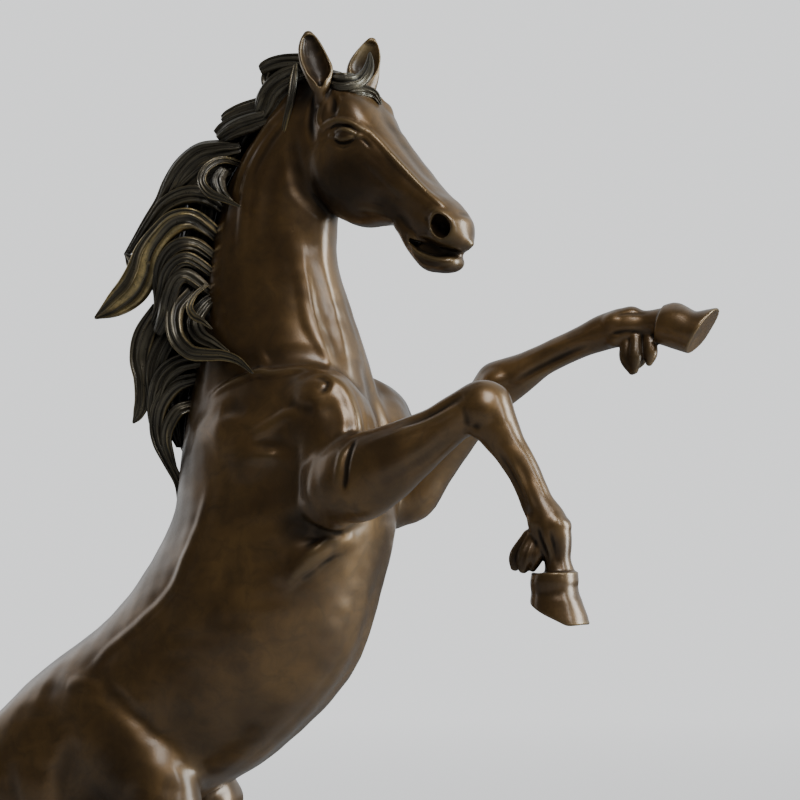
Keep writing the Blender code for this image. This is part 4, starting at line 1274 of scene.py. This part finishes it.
# ---------------------------------------------------------------- hair
def lock(stations, strands=6, rub=0.6, cup=0.1, roll=0, flat=0.62):
    """One lock of cast hair: a tapering ribbon of rounded strands, closed all round.

    A station is (x, y, z, half width). flat is the half thickness as a share of that. cup lifts
    the ribbon's edges by a share of the half width. roll, in degrees, turns its face up from
    facing the right. rub is how golden its edges and ridges are.
    """
    first, second = stations[:2]
    draw = np.random.default_rng(int(abs(first[0] * 31 + first[2] * 7 + second[1] * 3)))
    rows = spline(stations, 11)
    centre = rows[:, :3]
    width = np.maximum(rows[:, 3:4], 0.25)
    thick = np.clip(width * flat, 0.25, 4.6)
    tangent = np.gradient(centre, axis=0)
    tangent /= np.linalg.norm(tangent, axis=1, keepdims=True)
    face = np.array((0.0, -1.0, 0.0)) + tangent * tangent[:, 1:2]
    face /= np.linalg.norm(face, axis=1, keepdims=True)
    across = np.cross(tangent, face)
    c, s = math.cos(math.radians(roll)), math.sin(math.radians(roll))
    face, across = face * c + across * s, across * c - face * s

    share = draw.uniform(0.55, 1.45, strands)
    edges = np.concatenate([[0], np.cumsum(share)]) / share.sum() * 2 - 1
    per_strand = 9
    t = np.append(np.tile(np.arange(per_strand) / per_strand, strands), 1.0)
    number = np.append(np.repeat(np.arange(strands), per_strand), strands - 1)
    u = edges[number] + (edges[number + 1] - edges[number]) * t
    ridge = np.sqrt(np.maximum(0, 1 - (2 * t - 1) ** 2))
    along = np.linspace(0, 1, len(rows))[:, None]
    phase = draw.uniform(0, 2 * math.pi, strands + 3)
    pace = draw.uniform(0.5, 1.6, strands + 3)
    hair = ridge * (1 + 0.4 * np.sin(2 * math.pi * along * pace[number] + phase[number]))
    fold = 0.5 + 0.5 * np.cos(math.pi * u * (1.4 + pace[-1]) + phase[-1] + 2.2 * along)
    dome = np.sqrt(np.maximum(1 - np.abs(u) ** 2.6, 0))
    front = thick * dome * (0.50 + 0.15 * hair + 0.45 * fold)
    rear = -thick * dome * (0.62 + 0.30 * np.roll(hair, 3, axis=1))
    lane = u + 0.10 * np.sin(2 * math.pi * along * pace[-2] + phase[-2]) * (1 - u * u)
    lift = cup * width * (u * u - 0.4)

    def surface_at(height):
        beside = across[:, None] * (lane * width)[..., None]
        return centre[:, None] + beside + face[:, None] * (height + lift)[..., None]

    def round_trip(there, back):
        """Values over the front of the ribbon, then back over its rear."""
        return np.concatenate([there, back[:, -2:0:-1]], axis=1)

    skin = round_trip(surface_at(front), surface_at(rear))
    rim = np.clip((np.abs(u) - 0.80) * 6, 0, 1)
    tone = np.where(hair > 0.55, (hair - 0.55) * 0.5 * rub, (hair - 0.55) * 0.9)
    tone = tone + (rim + 0.9 * np.maximum(fold - 0.55, 0)) * rub - 0.8 * np.maximum(0.3 - fold, 0)
    tone = tone + np.clip(2.2 * along - 0.9, 0, 1) * max(rub - 1, 0) * (0.5 + 0.8 * fold)
    n, m = skin.shape[:2]
    index = np.arange(n * m).reshape(n, m)
    a, b = index[:-1], index[1:]
    quads = np.stack([a, b, np.roll(b, -1, 1), np.roll(a, -1, 1)], 2).reshape(-1, 4)
    ends = [centre[:1] - tangent[:1] * width[0] * 0.4, centre[-1:] + tangent[-1:] * 0.6]
    caps = [(n * m, index[0, j], index[0, (j + 1) % m]) for j in range(m)]
    caps += [(n * m + 1, index[-1, (j + 1) % m], index[-1, j]) for j in range(m)]
    values = [[*round_trip(v, v).ravel(), 0, 0] for v in (tone, lane * width + phase[0])]
    return np.vstack([skin.reshape(-1, 3), *ends]), quads.tolist() + caps, values


def hair_piece(name, locks, node):
    """Joins locks into one casting that stands for a node of the CAD."""
    verts, faces, rub, lane = [], [], [], []
    for places, polygons, (rubs, lanes) in locks:
        faces += [[k + len(rub) for k in polygon] for polygon in polygons]
        verts.append(places)
        rub += rubs
        lane += lanes
    mesh = bpy.data.meshes.new(name)
    mesh.from_pydata((np.vstack(verts) * MM).tolist(), [], faces)
    write_attribute(mesh, "rub", rub)
    write_attribute(mesh, "lane", lane)
    mesh.shade_smooth()
    add_piece(name, mesh, HAIR, node)


def far_side(stations, y, shift=(0, 0), size=0.9):
    """The same lock on the horse's left: y is carried over, with its place and size varied a little."""
    return [(x + shift[0], y - (10 + old) * 0.6, z + shift[1], width * size) for x, old, z, width in stations]


# The dark mass of hair on the crest, from the poll down to the withers.
ROOT = points("""
73 -5 597 4.5, 62 -6 585 4.5, 53 -7 577 6, 43 -7 567 8, 32 -7 551 8.5, 24 -8 532 8.5, 19 -8 512 8.5,
16 -9 493 8.5, 13 -9 473 8.5, 10 -9 453 8.5, 9 -8 434 7.5, 9 -7 419 5, 11 -6 408 2
""")
TUFT = points("""
94 -10 598 5, 84 -12 601.2 5, 75 -13 602.4 4.6, 67 -13 602 4.4, 61.8 -13 600.6 4, 59.4 -13 599.4 3
""")
TUFT_UNDER = points("86 -12 597 5, 76 -14 594 7, 68 -15 588 7.5, 63 -15 580.5 7, 58 -13 574 4")
TUFT_HOOK = points("66 -12.5 600 4.6, 63 -12.5 595 4.2, 65 -12.5 589 4, 62.5 -11 582 3")
STRAP = points("80.5 -18 600 1.2, 80.5 -20 592 2.6, 79.5 -22 580 2.5, 76.5 -22 568 2, 74 -21 557 0.7")
FOLD = points("68 -11 586 3.6, 58 -13 582 4.4, 49 -14 579.5 4.4, 41.5 -14 577 3.8, 37.8 -13 575.5 3")
FOLD_UNDER = points("66 -14 576 5, 56 -16 573 6, 47 -16 571 6, 40 -14 569 5.8, 36 -13 566.5 5")
SWEEP = points("""
47 -12 561 3.5, 36 -14 560 5.4, 26 -15 558 6.4, 17 -15 551.5 6.8, 10 -14 543 6.6, 4 -13 534 5.6,
-4 -12 525 4.6, -12 -11 516 3.2, -20 -10 509 0.8
""")
SWEEP_UNDER = points("""
42 -12 551 4.5, 31 -13 550.5 6.6, 22 -13.5 545 7.6, 14 -13 539 7, 7 -12 531.5 5.6, -1 -12 523.5 3.8,
-7 -11 516 1.5
""")
SECOND = points("""
40 -8 527 3, 33 -14 534 4, 25 -17 537 4.8, 16 -17.5 536 5.2, 7 -17 531.5 5, 0 -16.5 524 4.2, -8 -16 515 3,
-16 -15 508 0.8
""")
RING = points("""
48 -10 552 1.6, 43 -18 553.5 1.8, 38.5 -23 552 2.2, 34 -26.5 547 2.4, 33.5 -28 541 2.5, 38.5 -29 535 2.4,
47.5 -31 531 1.7, 57 -33.5 526.5 0.6
""")
RING_INSIDE = points("41 -18 549 3, 38.5 -20 543 4.4, 41 -21 536 3.4, 47 -22 531 1.5")
GOLD = points("""
37 -6 512 4, 31 -13 519 4.6, 23.5 -18.5 524 5.6, 14.5 -20.5 522.5 6.6, 6 -20.5 515.5 7, -1 -19.5 507 8.2,
-4.5 -19 498 9.2, -10 -19.5 489 9.2, -20 -20.5 481 6.4, -31 -21 475 0.9
""")
BARB = points("6 -18 502 6, -3 -18 501.5 6.6, -10 -17.5 503 5, -16 -16.5 508 0.8")
ARCHES = [points(arch) for arch in ("""
37 -6 499 2.6, 32 -13 506 3, 25.5 -19 511 3.6, 17 -21.5 510.5 3.9, 10 -21 505 4.3, 6 -20 496 4.6,
5 -18 486 4, 2 -16 478 1.6
""", """
36 -6 490 3, 31 -13 497 3.2, 23.5 -20 503 3.8, 17 -22 502 4, 11.5 -22 496 4.2, 8.5 -20 487.5 4.4,
5 -18 478 3.8, -1 -15 471 1.4
""", """
35 -6 480 3, 30 -15 488 3.2, 22.5 -21 494.5 3.9, 17 -23 492.5 4.2, 13 -23 484 4.6, 10 -21 474.5 4.8,
4 -18 466 3
""")]
CURL = points("""
22 -17 487 4.4, 17 -21.5 479 5, 17 -24.5 469.5 5, 20.5 -26.5 461 4.7, 28.5 -28.5 454.5 4,
38.5 -30.5 452.8 3.4, 48 -32.5 452 2.8, 57.5 -35 449 2, 66.5 -38 442.5 0.6
""")
CURL_INSIDE = points("""
36 -10 486 3, 31 -18 480 4, 27 -22 471 5, 31 -25 463 4.8, 40 -28 458 3.6, 50 -31 453 1.6
""")
CURL_SMALL = points("""
33 -20 490 1, 29 -26 484 1.5, 28 -30 477.5 2, 31.5 -32 472.5 2, 37 -33.5 469.5 1.5, 42.5 -34.5 465.5 0.5
""")
LOWER = points("""
2 -12 480 4.6, -5 -14 466 6.6, -8 -14 454 6, -6.5 -14 443.5 5.2, -6.5 -14 433 4.6, -9 -14 425 3.2,
-12.5 -13 420.5 0.8
""")
LOWER_INSIDE = points("13 -13 472 6, 5.5 -15 458 6.4, 1.5 -15.5 446 6, 0.5 -15 435 5, -2.5 -14 426 2")
BANDS = [points(band) for band in ("""
25 -13 443 3, 14 -17 439 4.4, 6 -17 430 4.8, 3 -16 419.5 4.4, 4 -15 410 4, 8 -13 400 3.2,
12.5 -10.5 389.5 2.6, 13 -8.5 380 2.2, 12 -7 370 0.8
""", """
21 -12 429 3, 15 -16 426 3.8, 10 -17 418.5 3.9, 8 -16 411 3.4, 9 -14 403.5 2.8, 12 -12 395 1
""", """
29 -14 452 3.6, 18 -18 450.5 5, 8 -18 444 5.4, 2.5 -16.5 434 5, 0 -15 424 3.4, -1 -13 415 1
""")]
TRAIL = points("""
17 -8 417 2.2, 18.5 -8.5 406 1.7, 18.5 -8.5 396 1.5, 15 -8 387 1.7, 13 -7 377 1.3, 12 -6 369 0.6
""")
FORELOCK = points("""
99 -20 590 1.8, 102.5 -24 589.5 3.4, 107 -25.5 587.5 4.6, 112 -24.5 587 4.8, 116 -19.5 589 4.4,
118 -15 594 3.6, 118 -11.5 600 2.2, 117 -9 605 0.7
""")
FORELOCK_UNDER = points("""
108 -23 584 2.5, 114 -24 582.5 3.2, 118.5 -20 583 3.2, 122.5 -16 581.5 2.4, 125.5 -15.5 577 0.8
""")


def crest(first, last, far=False):
    """Locks of the dark mass on the crest: stations and the numbers that lock takes."""
    part = ROOT[first:last]
    return far_side(part, 7) if far else part, 5, 0.1, 0, 0, 0.9


# Each casting of the mane: its node, then its locks with strands, rub, cup, roll and flat.
MANE = {
    "poll_tuft_hair": ("mane_poll_tuft", [
        (TUFT, 4, 0.35, 0.05, 30, 0.9), (TUFT_UNDER, 6, 0.1, 0.1), (TUFT_HOOK, 3, 0.3, 0.1),
        (STRAP, 2, 0.9, 0.3, 25), crest(0, 3),
        (far_side(TUFT, 2, (2, -3)), 4, 0.5), (far_side(TUFT_UNDER, 5, (3, -4)), 5, 0.3),
    ]),
    "crest_hair": ("mane_crest_locks", [
        (FOLD, 4, 0.8, 0.15, 20), (FOLD_UNDER, 6, 0.1), crest(1, 5),
        (far_side(FOLD, 4, (2, -2)), 4, 0.6), (far_side(FOLD_UNDER, 6, (0, -3)), 6, 0.3),
    ]),
    "upper_sweep_hair": ("mane_upper_sweep", [
        (SWEEP, 6, 0.45, 0.05), (SWEEP_UNDER, 6, 0.1), (SECOND, 5, 0.5), crest(3, 7),
        (RING, 3, 1.1, 0.35), (RING_INSIDE, 5, 0.1, -0.2),
        (far_side(SWEEP, 7, (3, -4)), 6, 0.5), (far_side(SECOND, 8, (3, -2)), 6, 0.5), crest(3, 7, True),
    ]),
    "long_lock_hair": ("mane_long_lock", [
        (GOLD, 4, 1.8, 0.12), (BARB, 3, 0.7, 0.1), *((arch, 4, 0.7, 0.12) for arch in ARCHES),
        crest(5, 9), (far_side(GOLD, 8, (6, -10), 0.85), 6, 0.9),
        *((far_side(arch, 8, (4, -4)), 6, 0.6) for arch in ARCHES[::2]), crest(5, 9, True),
    ]),
    "curled_lock_hair": ("mane_curled_lock", [
        (CURL, 4, 0.8, 0.3), (CURL_SMALL, 2, 1.2, 0.3), (CURL_INSIDE, 5, 0.3),
    ]),
    "lower_hair": ("mane_lower_locks", [
        (LOWER, 5, 0.7), (LOWER_INSIDE, 6, 0.2), (BANDS[2], 5, 0.4), crest(7, 11),
        (far_side(LOWER, 7, (6, 6)), 6, 0.7), (far_side(BANDS[2], 8, (2, 4)), 6, 0.5), crest(7, 11, True),
    ]),
    "trailing_hair": ("mane_trailing_lock", [
        (BANDS[0], 5, 0.6), (BANDS[1], 4, 0.7), (TRAIL, 3, 0.2), (ROOT[9:], 4, 0.1, 0, 0, 0.9),
        *((far_side(band, 5, (2, 4)), 5, 0.6) for band in BANDS[:2]),
    ]),
    "forelock_hair": ("forelock", [(FORELOCK, 4, 0.35, 0.15, -10), (FORELOCK_UNDER, 4, 0.15)]),
}
# The middle of the tail, from the dock to the ground.
TAIL = points("""
-98 0 228 9, -110 1 241 10, -124 3 242 11, -135 5 226 12, -137 6 200 13, -133 8 165 13, -122 10 125 12,
-108 11 92 10, -98 12 68 8, -96 12 53.5 7
""")


def build_mane():
    for name, (node, locks) in MANE.items():
        hair_piece(name, [lock(*settings) for settings in locks], node)


def tail_lock(offset, wave, size, phase, finish):
    """A lock that follows the tail beside its middle, waving, and leaves it towards finish."""
    rows = []
    for i, (x, y, z, width) in enumerate(TAIL[1:finish]):
        k = i / (finish - 2)
        sway = wave * math.sin(k * 2.2 * math.pi + phase)
        out = 0.4 + 0.6 * math.sin(math.pi * min(1, 1.25 * k))
        narrow = 1 if i < finish - 4 else (finish - 2 - i) / 3
        rows.append((x + (offset[0] + sway) * out, y + offset[1] * out, z + offset[2] * out,
                     max(width * size * (0.35 + 0.65 * narrow), 0.8)))
    return lock(rows, 6, 0.6, 0.08)


def build_tail():
    hair_piece("tail_hair", [
        lock(TAIL, 9, 0.4, 0, 0, 0.85),
        tail_lock((-4, -7, 1), 3.0, 0.75, 1, 8), tail_lock((5, -6, 0), 2.6, 0.7, 2, 9),
        tail_lock((-6, 1, 2), 3.2, 0.75, 3, 7), tail_lock((-3, 8, 1), 3.0, 0.75, 4, 8),
        tail_lock((6, 6, 0), 2.4, 0.7, 5, 9),
    ], "tail_casting")


# ---------------------------------------------------------------- ground
GROUND_CENTRE = -24
GROUND_BOTTOM = 32.1
GROUND_TOP = 52.0
GROUND_BOX = ((-136, -68, 30), (88, 68, 62))
GROUND_CELL = 0.85
# Where the hooves and the tail's foot stand.
FEET = ((14, -28), (34, 28), (-96, 12))


def mound(ripples):
    """The low oval block of earth, with a rippled edge, as a shape."""
    def distance(x, y, z):
        rise = (z - GROUND_BOTTOM) / (GROUND_TOP - GROUND_BOTTOM)
        angle = np.arctan2(y * 1.7, x - GROUND_CENTRE)
        edge = sum(np.sin((3 + 2 * k) * angle + ripple) / (3 + k) for k, ripple in enumerate(ripples))
        long = 105.5 - 10 * rise**2 + 1.2 * edge
        short = 61.5 - 10 * rise**2 + 1.2 * edge
        rho = np.sqrt(((x - GROUND_CENTRE) / long) ** 2 + (y / short) ** 2)
        wall = (rho - 1) * short
        lid = z - GROUND_TOP
        return (-smooth_min(-wall, -lid, 6)).astype(np.float32)

    return *GROUND_BOX, distance


def ground_spot(draw, inner, long, short, clear):
    """A random place on the ground, its share of the way out and its angle; None near a foot."""
    angle = draw.uniform(0, 2 * math.pi)
    reach = math.sqrt(draw.uniform(inner, 1))
    x = GROUND_CENTRE + long * reach * math.cos(angle)
    y = short * reach * math.sin(angle)
    near = min(math.hypot(x - a, y - b) for a, b in FEET)
    return None if near < clear else (x, y, reach, angle)


def build_ground():
    """A low oval mound of earth and rock, flat only under the hooves and the tail's foot."""
    clay = Clay(*GROUND_BOX, GROUND_CELL)
    draw = np.random.default_rng(5)
    clay.add(mound(draw.uniform(0, 2 * math.pi, 6)))
    clay.carve(beyond_plane((GROUND_CENTRE, 0, GROUND_BOTTOM), DOWN, 140))
    for _ in range(70):
        spot = ground_spot(draw, 0.02, 100, 57, 25)
        if spot is None:
            continue
        x, y, reach, _ = spot
        tilt = draw.uniform(0, math.pi)
        size = draw.uniform(7, 17)
        turn = axes((math.cos(tilt), math.sin(tilt), 0.25), (0, 0, 1))
        radii = (size, size * 0.6, size * 0.6)
        clay.swell((x, y, GROUND_TOP - 6 * reach**6), radii, draw.uniform(-2.2, 3.4), turn)
    for _ in range(240):
        spot = ground_spot(draw, 0.05, 103, 60, 21)
        if spot is None:
            continue
        x, y, reach, angle = spot
        z = GROUND_TOP - 0.5 if reach < 0.8 else draw.uniform(38, 52)
        bend = draw.uniform(-3, 3, 4)
        step = draw.uniform(4, 8)
        way = angle + draw.uniform(-0.7, 0.7)
        dx, dy = math.cos(way) * step, math.sin(way) * step * 0.8
        path = [(x - dx, y - dy, z), (x + bend[0], y + bend[1], z), (x + dx, y + dy, z - 2 * (reach > 0.8))]
        clay.stroke(path, draw.uniform(2.0, 3.4), draw.uniform(-1.1, 0.9), steps=3)
    finish_casting("ground_skin", clay_mesh("ground_skin", clay), "ground_casting")


# ---------------------------------------------------------------- pieces
BODY_CELL = 1.05
NECK_CELL = BODY_CELL * 0.85
LIMB_CELL = 0.62
HEAD_CELL = 0.5


def opposite(joint):
    return joint[0], [-c for c in joint[1]]


NECK_JOINT = ((20, 0, 455), (0.131, 0, 0.991))
HEAD_JOINT = (POLL + HEAD_ROTATION @ (-18, 0, 1), HEAD_ROTATION @ (0.911, 0, 0.412))
RIGHT_FORELEG_JOINT = ((151, -48, 405), (0.88, 0, 0.47))
LEFT_FORELEG_JOINT = ((147, 43, 417), (0.62, 0, 0.78))
HIND_JOINT = ((20, 0, 186), (0.0408, 0, -0.999))
# Each casting: its clay, cell and box, and the joints that it is cut off beyond.
CASTINGS = {
    "torso": (horse, BODY_CELL, (-114, -68, 170), (172, 68, 468), [
        NECK_JOINT, (*RIGHT_FORELEG_JOINT, ((134, -72, 370), (175, -26, 440))),
        (*LEFT_FORELEG_JOINT, ((130, 22, 385), (170, 66, 450))), HIND_JOINT,
    ]),
    "neck": (horse_with_head, NECK_CELL, (8, -50, 426), (144, 50, 612), [opposite(NECK_JOINT), HEAD_JOINT]),
    "head": (horse_with_head, HEAD_CELL, (64, -60, 478), (190, 36, 622), [opposite(HEAD_JOINT)]),
    "right_foreleg": (horse, LIMB_CELL, (130, -72, 316), (246, -28, 442), [opposite(RIGHT_FORELEG_JOINT)]),
    "left_foreleg": (horse, LIMB_CELL, (128, 20, 380), (294, 64, 486), [opposite(LEFT_FORELEG_JOINT)]),
    "right_hind_leg": (horse, LIMB_CELL, (-60, -62, 48), (60, -8, 200), [opposite(HIND_JOINT)]),
    "left_hind_leg": (horse, LIMB_CELL, (-50, 8, 48), (80, 62, 200), [opposite(HIND_JOINT)]),
}


def build_castings():
    for name, (model, cell, low, high, joints) in CASTINGS.items():
        mesh = clay_mesh(name + "_skin", model(low, high, cell))
        for joint in joints:
            cut_away(mesh, *joint)
        finish_casting(name + "_skin", mesh, name if name.endswith("leg") else name + "_casting")


def dress_frame():
    """Materials for the CAD's own nodes that stay: base, felt, sleeves, dowels and fixings."""
    steel = metal("zinc_steel", (0.36, 0.35, 0.33, 1), (0.58, 0.57, 0.55, 1), 0.26)
    brass = metal("cast_brass", (0.42, 0.26, 0.09, 1), (0.66, 0.45, 0.19, 1), 0.30)
    chosen = {"marble_base": marble(), "felt_sheet": felt()}
    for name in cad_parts:
        if name.endswith(("_stud", "_washer", "_nut")):
            chosen[name] = steel
        elif name.endswith(("_sleeve", "_dowel")):
            chosen[name] = brass
    for name, material in chosen.items():
        node = bpy.data.objects[name]
        node.data.materials.clear()
        node.data.materials.append(material)


dress_frame()
build_castings()
build_mane()
build_tail()
build_ground()


# ---------------------------------------------------------------- stage
CAMERA_AZIMUTH = math.radians(20)
CAMERA_RISE = math.radians(-3.6)
CAMERA_TARGET = Vector((0.130, 0, 0.430))
CAMERA_DISTANCE = 0.95
BACKDROP = (0.80, 0.81, 0.82, 1)
BACKDROP_GLOW = 1.55


def facing(way):
    """The turn that points a camera or a light against way."""
    return way.to_track_quat("Z", "Y").to_euler()


def build_camera():
    data = bpy.data.cameras.new("camera")
    data.sensor_width = 36
    data.lens = 85.5
    data.clip_start = 0.01
    camera = linked("camera", data)
    flat = math.cos(CAMERA_RISE)
    back = Vector((math.sin(CAMERA_AZIMUTH) * flat, -math.cos(CAMERA_AZIMUTH) * flat, math.sin(CAMERA_RISE)))
    camera.location = CAMERA_TARGET + back * CAMERA_DISTANCE
    camera.rotation_euler = facing(back)
    bpy.context.scene.camera = camera


def build_light(name, place, target, size, power, colour=(1, 1, 1)):
    data = bpy.data.lights.new(name, "AREA")
    data.shape = "ELLIPSE"
    data.size, data.size_y = size
    data.energy = power
    data.color = colour
    light = linked(name, data)
    light.location = place
    light.rotation_euler = facing(Vector(place) - Vector(target))


def build_world():
    """Pale all round for the camera; for reflections bright behind and above, dim in front."""
    world = bpy.data.worlds.new("studio")
    bpy.context.scene.world = world
    world.use_nodes = True
    world.node_tree.nodes.clear()
    n = Nodes(world.node_tree)
    way = n.node("ShaderNodeSeparateXYZ", {0: n.node("ShaderNodeTexCoord").outputs["Generated"]})
    ramp = n.remap(way.outputs["Y"], -0.35, 0.45, 0.035, 0.52, interpolation_type="SMOOTHSTEP")
    reflected = n.node("ShaderNodeBackground", {"Color": (0.93, 0.97, 1, 1), "Strength": ramp})
    seen = n.node("ShaderNodeBackground", {"Color": BACKDROP, "Strength": BACKDROP_GLOW})
    eye = n.node("ShaderNodeLightPath").outputs["Is Camera Ray"]
    mix = n.node("ShaderNodeMixShader", {0: eye, 1: reflected.outputs[0], 2: seen.outputs[0]})
    n.node("ShaderNodeOutputWorld", {"Surface": mix.outputs[0]})


def build_floor():
    bm = bmesh.new()
    bmesh.ops.create_circle(bm, cap_ends=True, segments=96, radius=6)
    mesh = bpy.data.meshes.new("floor")
    bm.to_mesh(mesh)
    bm.free()
    floor = linked("floor", mesh)
    floor.location.z = -0.0005
    n, finish = new_material("pale_floor")
    tone = n.mix(n.noise(6, 3), (0.70, 0.70, 0.69, 1), (0.76, 0.76, 0.755, 1))
    eye = n.node("ShaderNodeLightPath").outputs["Is Camera Ray"]
    far = n.remap(n.node("ShaderNodeCameraData").outputs["View Z Depth"], 1.2, 3.5)
    tone = n.mix(eye, (0.29, 0.29, 0.29, 1), n.mix(far, tone, (0, 0, 0, 1)))
    glow = n.times(eye, n.remap(far, 0, 1, 0.66, BACKDROP_GLOW))
    mesh.materials.append(finish(
        Base_Color=tone, Roughness=0.7, Emission_Color=BACKDROP, Emission_Strength=glow,
        Specular_IOR_Level=0.0,
    ))


build_camera()
build_light("key", (0.75, -1.2, 1.75), (0.08, 0, 0.42), (0.9, 0.7), 11.5)
build_light("left_panel", (-1.5, 0.4, 0.7), (0, 0, 0.4), (1.4, 1.6), 2.6)
build_light("right_panel", (1.7, 0.3, 0.7), (0.1, 0, 0.4), (0.7, 1.5), 25, (0.88, 0.96, 1))
build_light("front_strip", (1.28, -0.65, 1.1), (0.1, 0, 0.45), (0.16, 0.9), 3)
build_world()
build_floor()
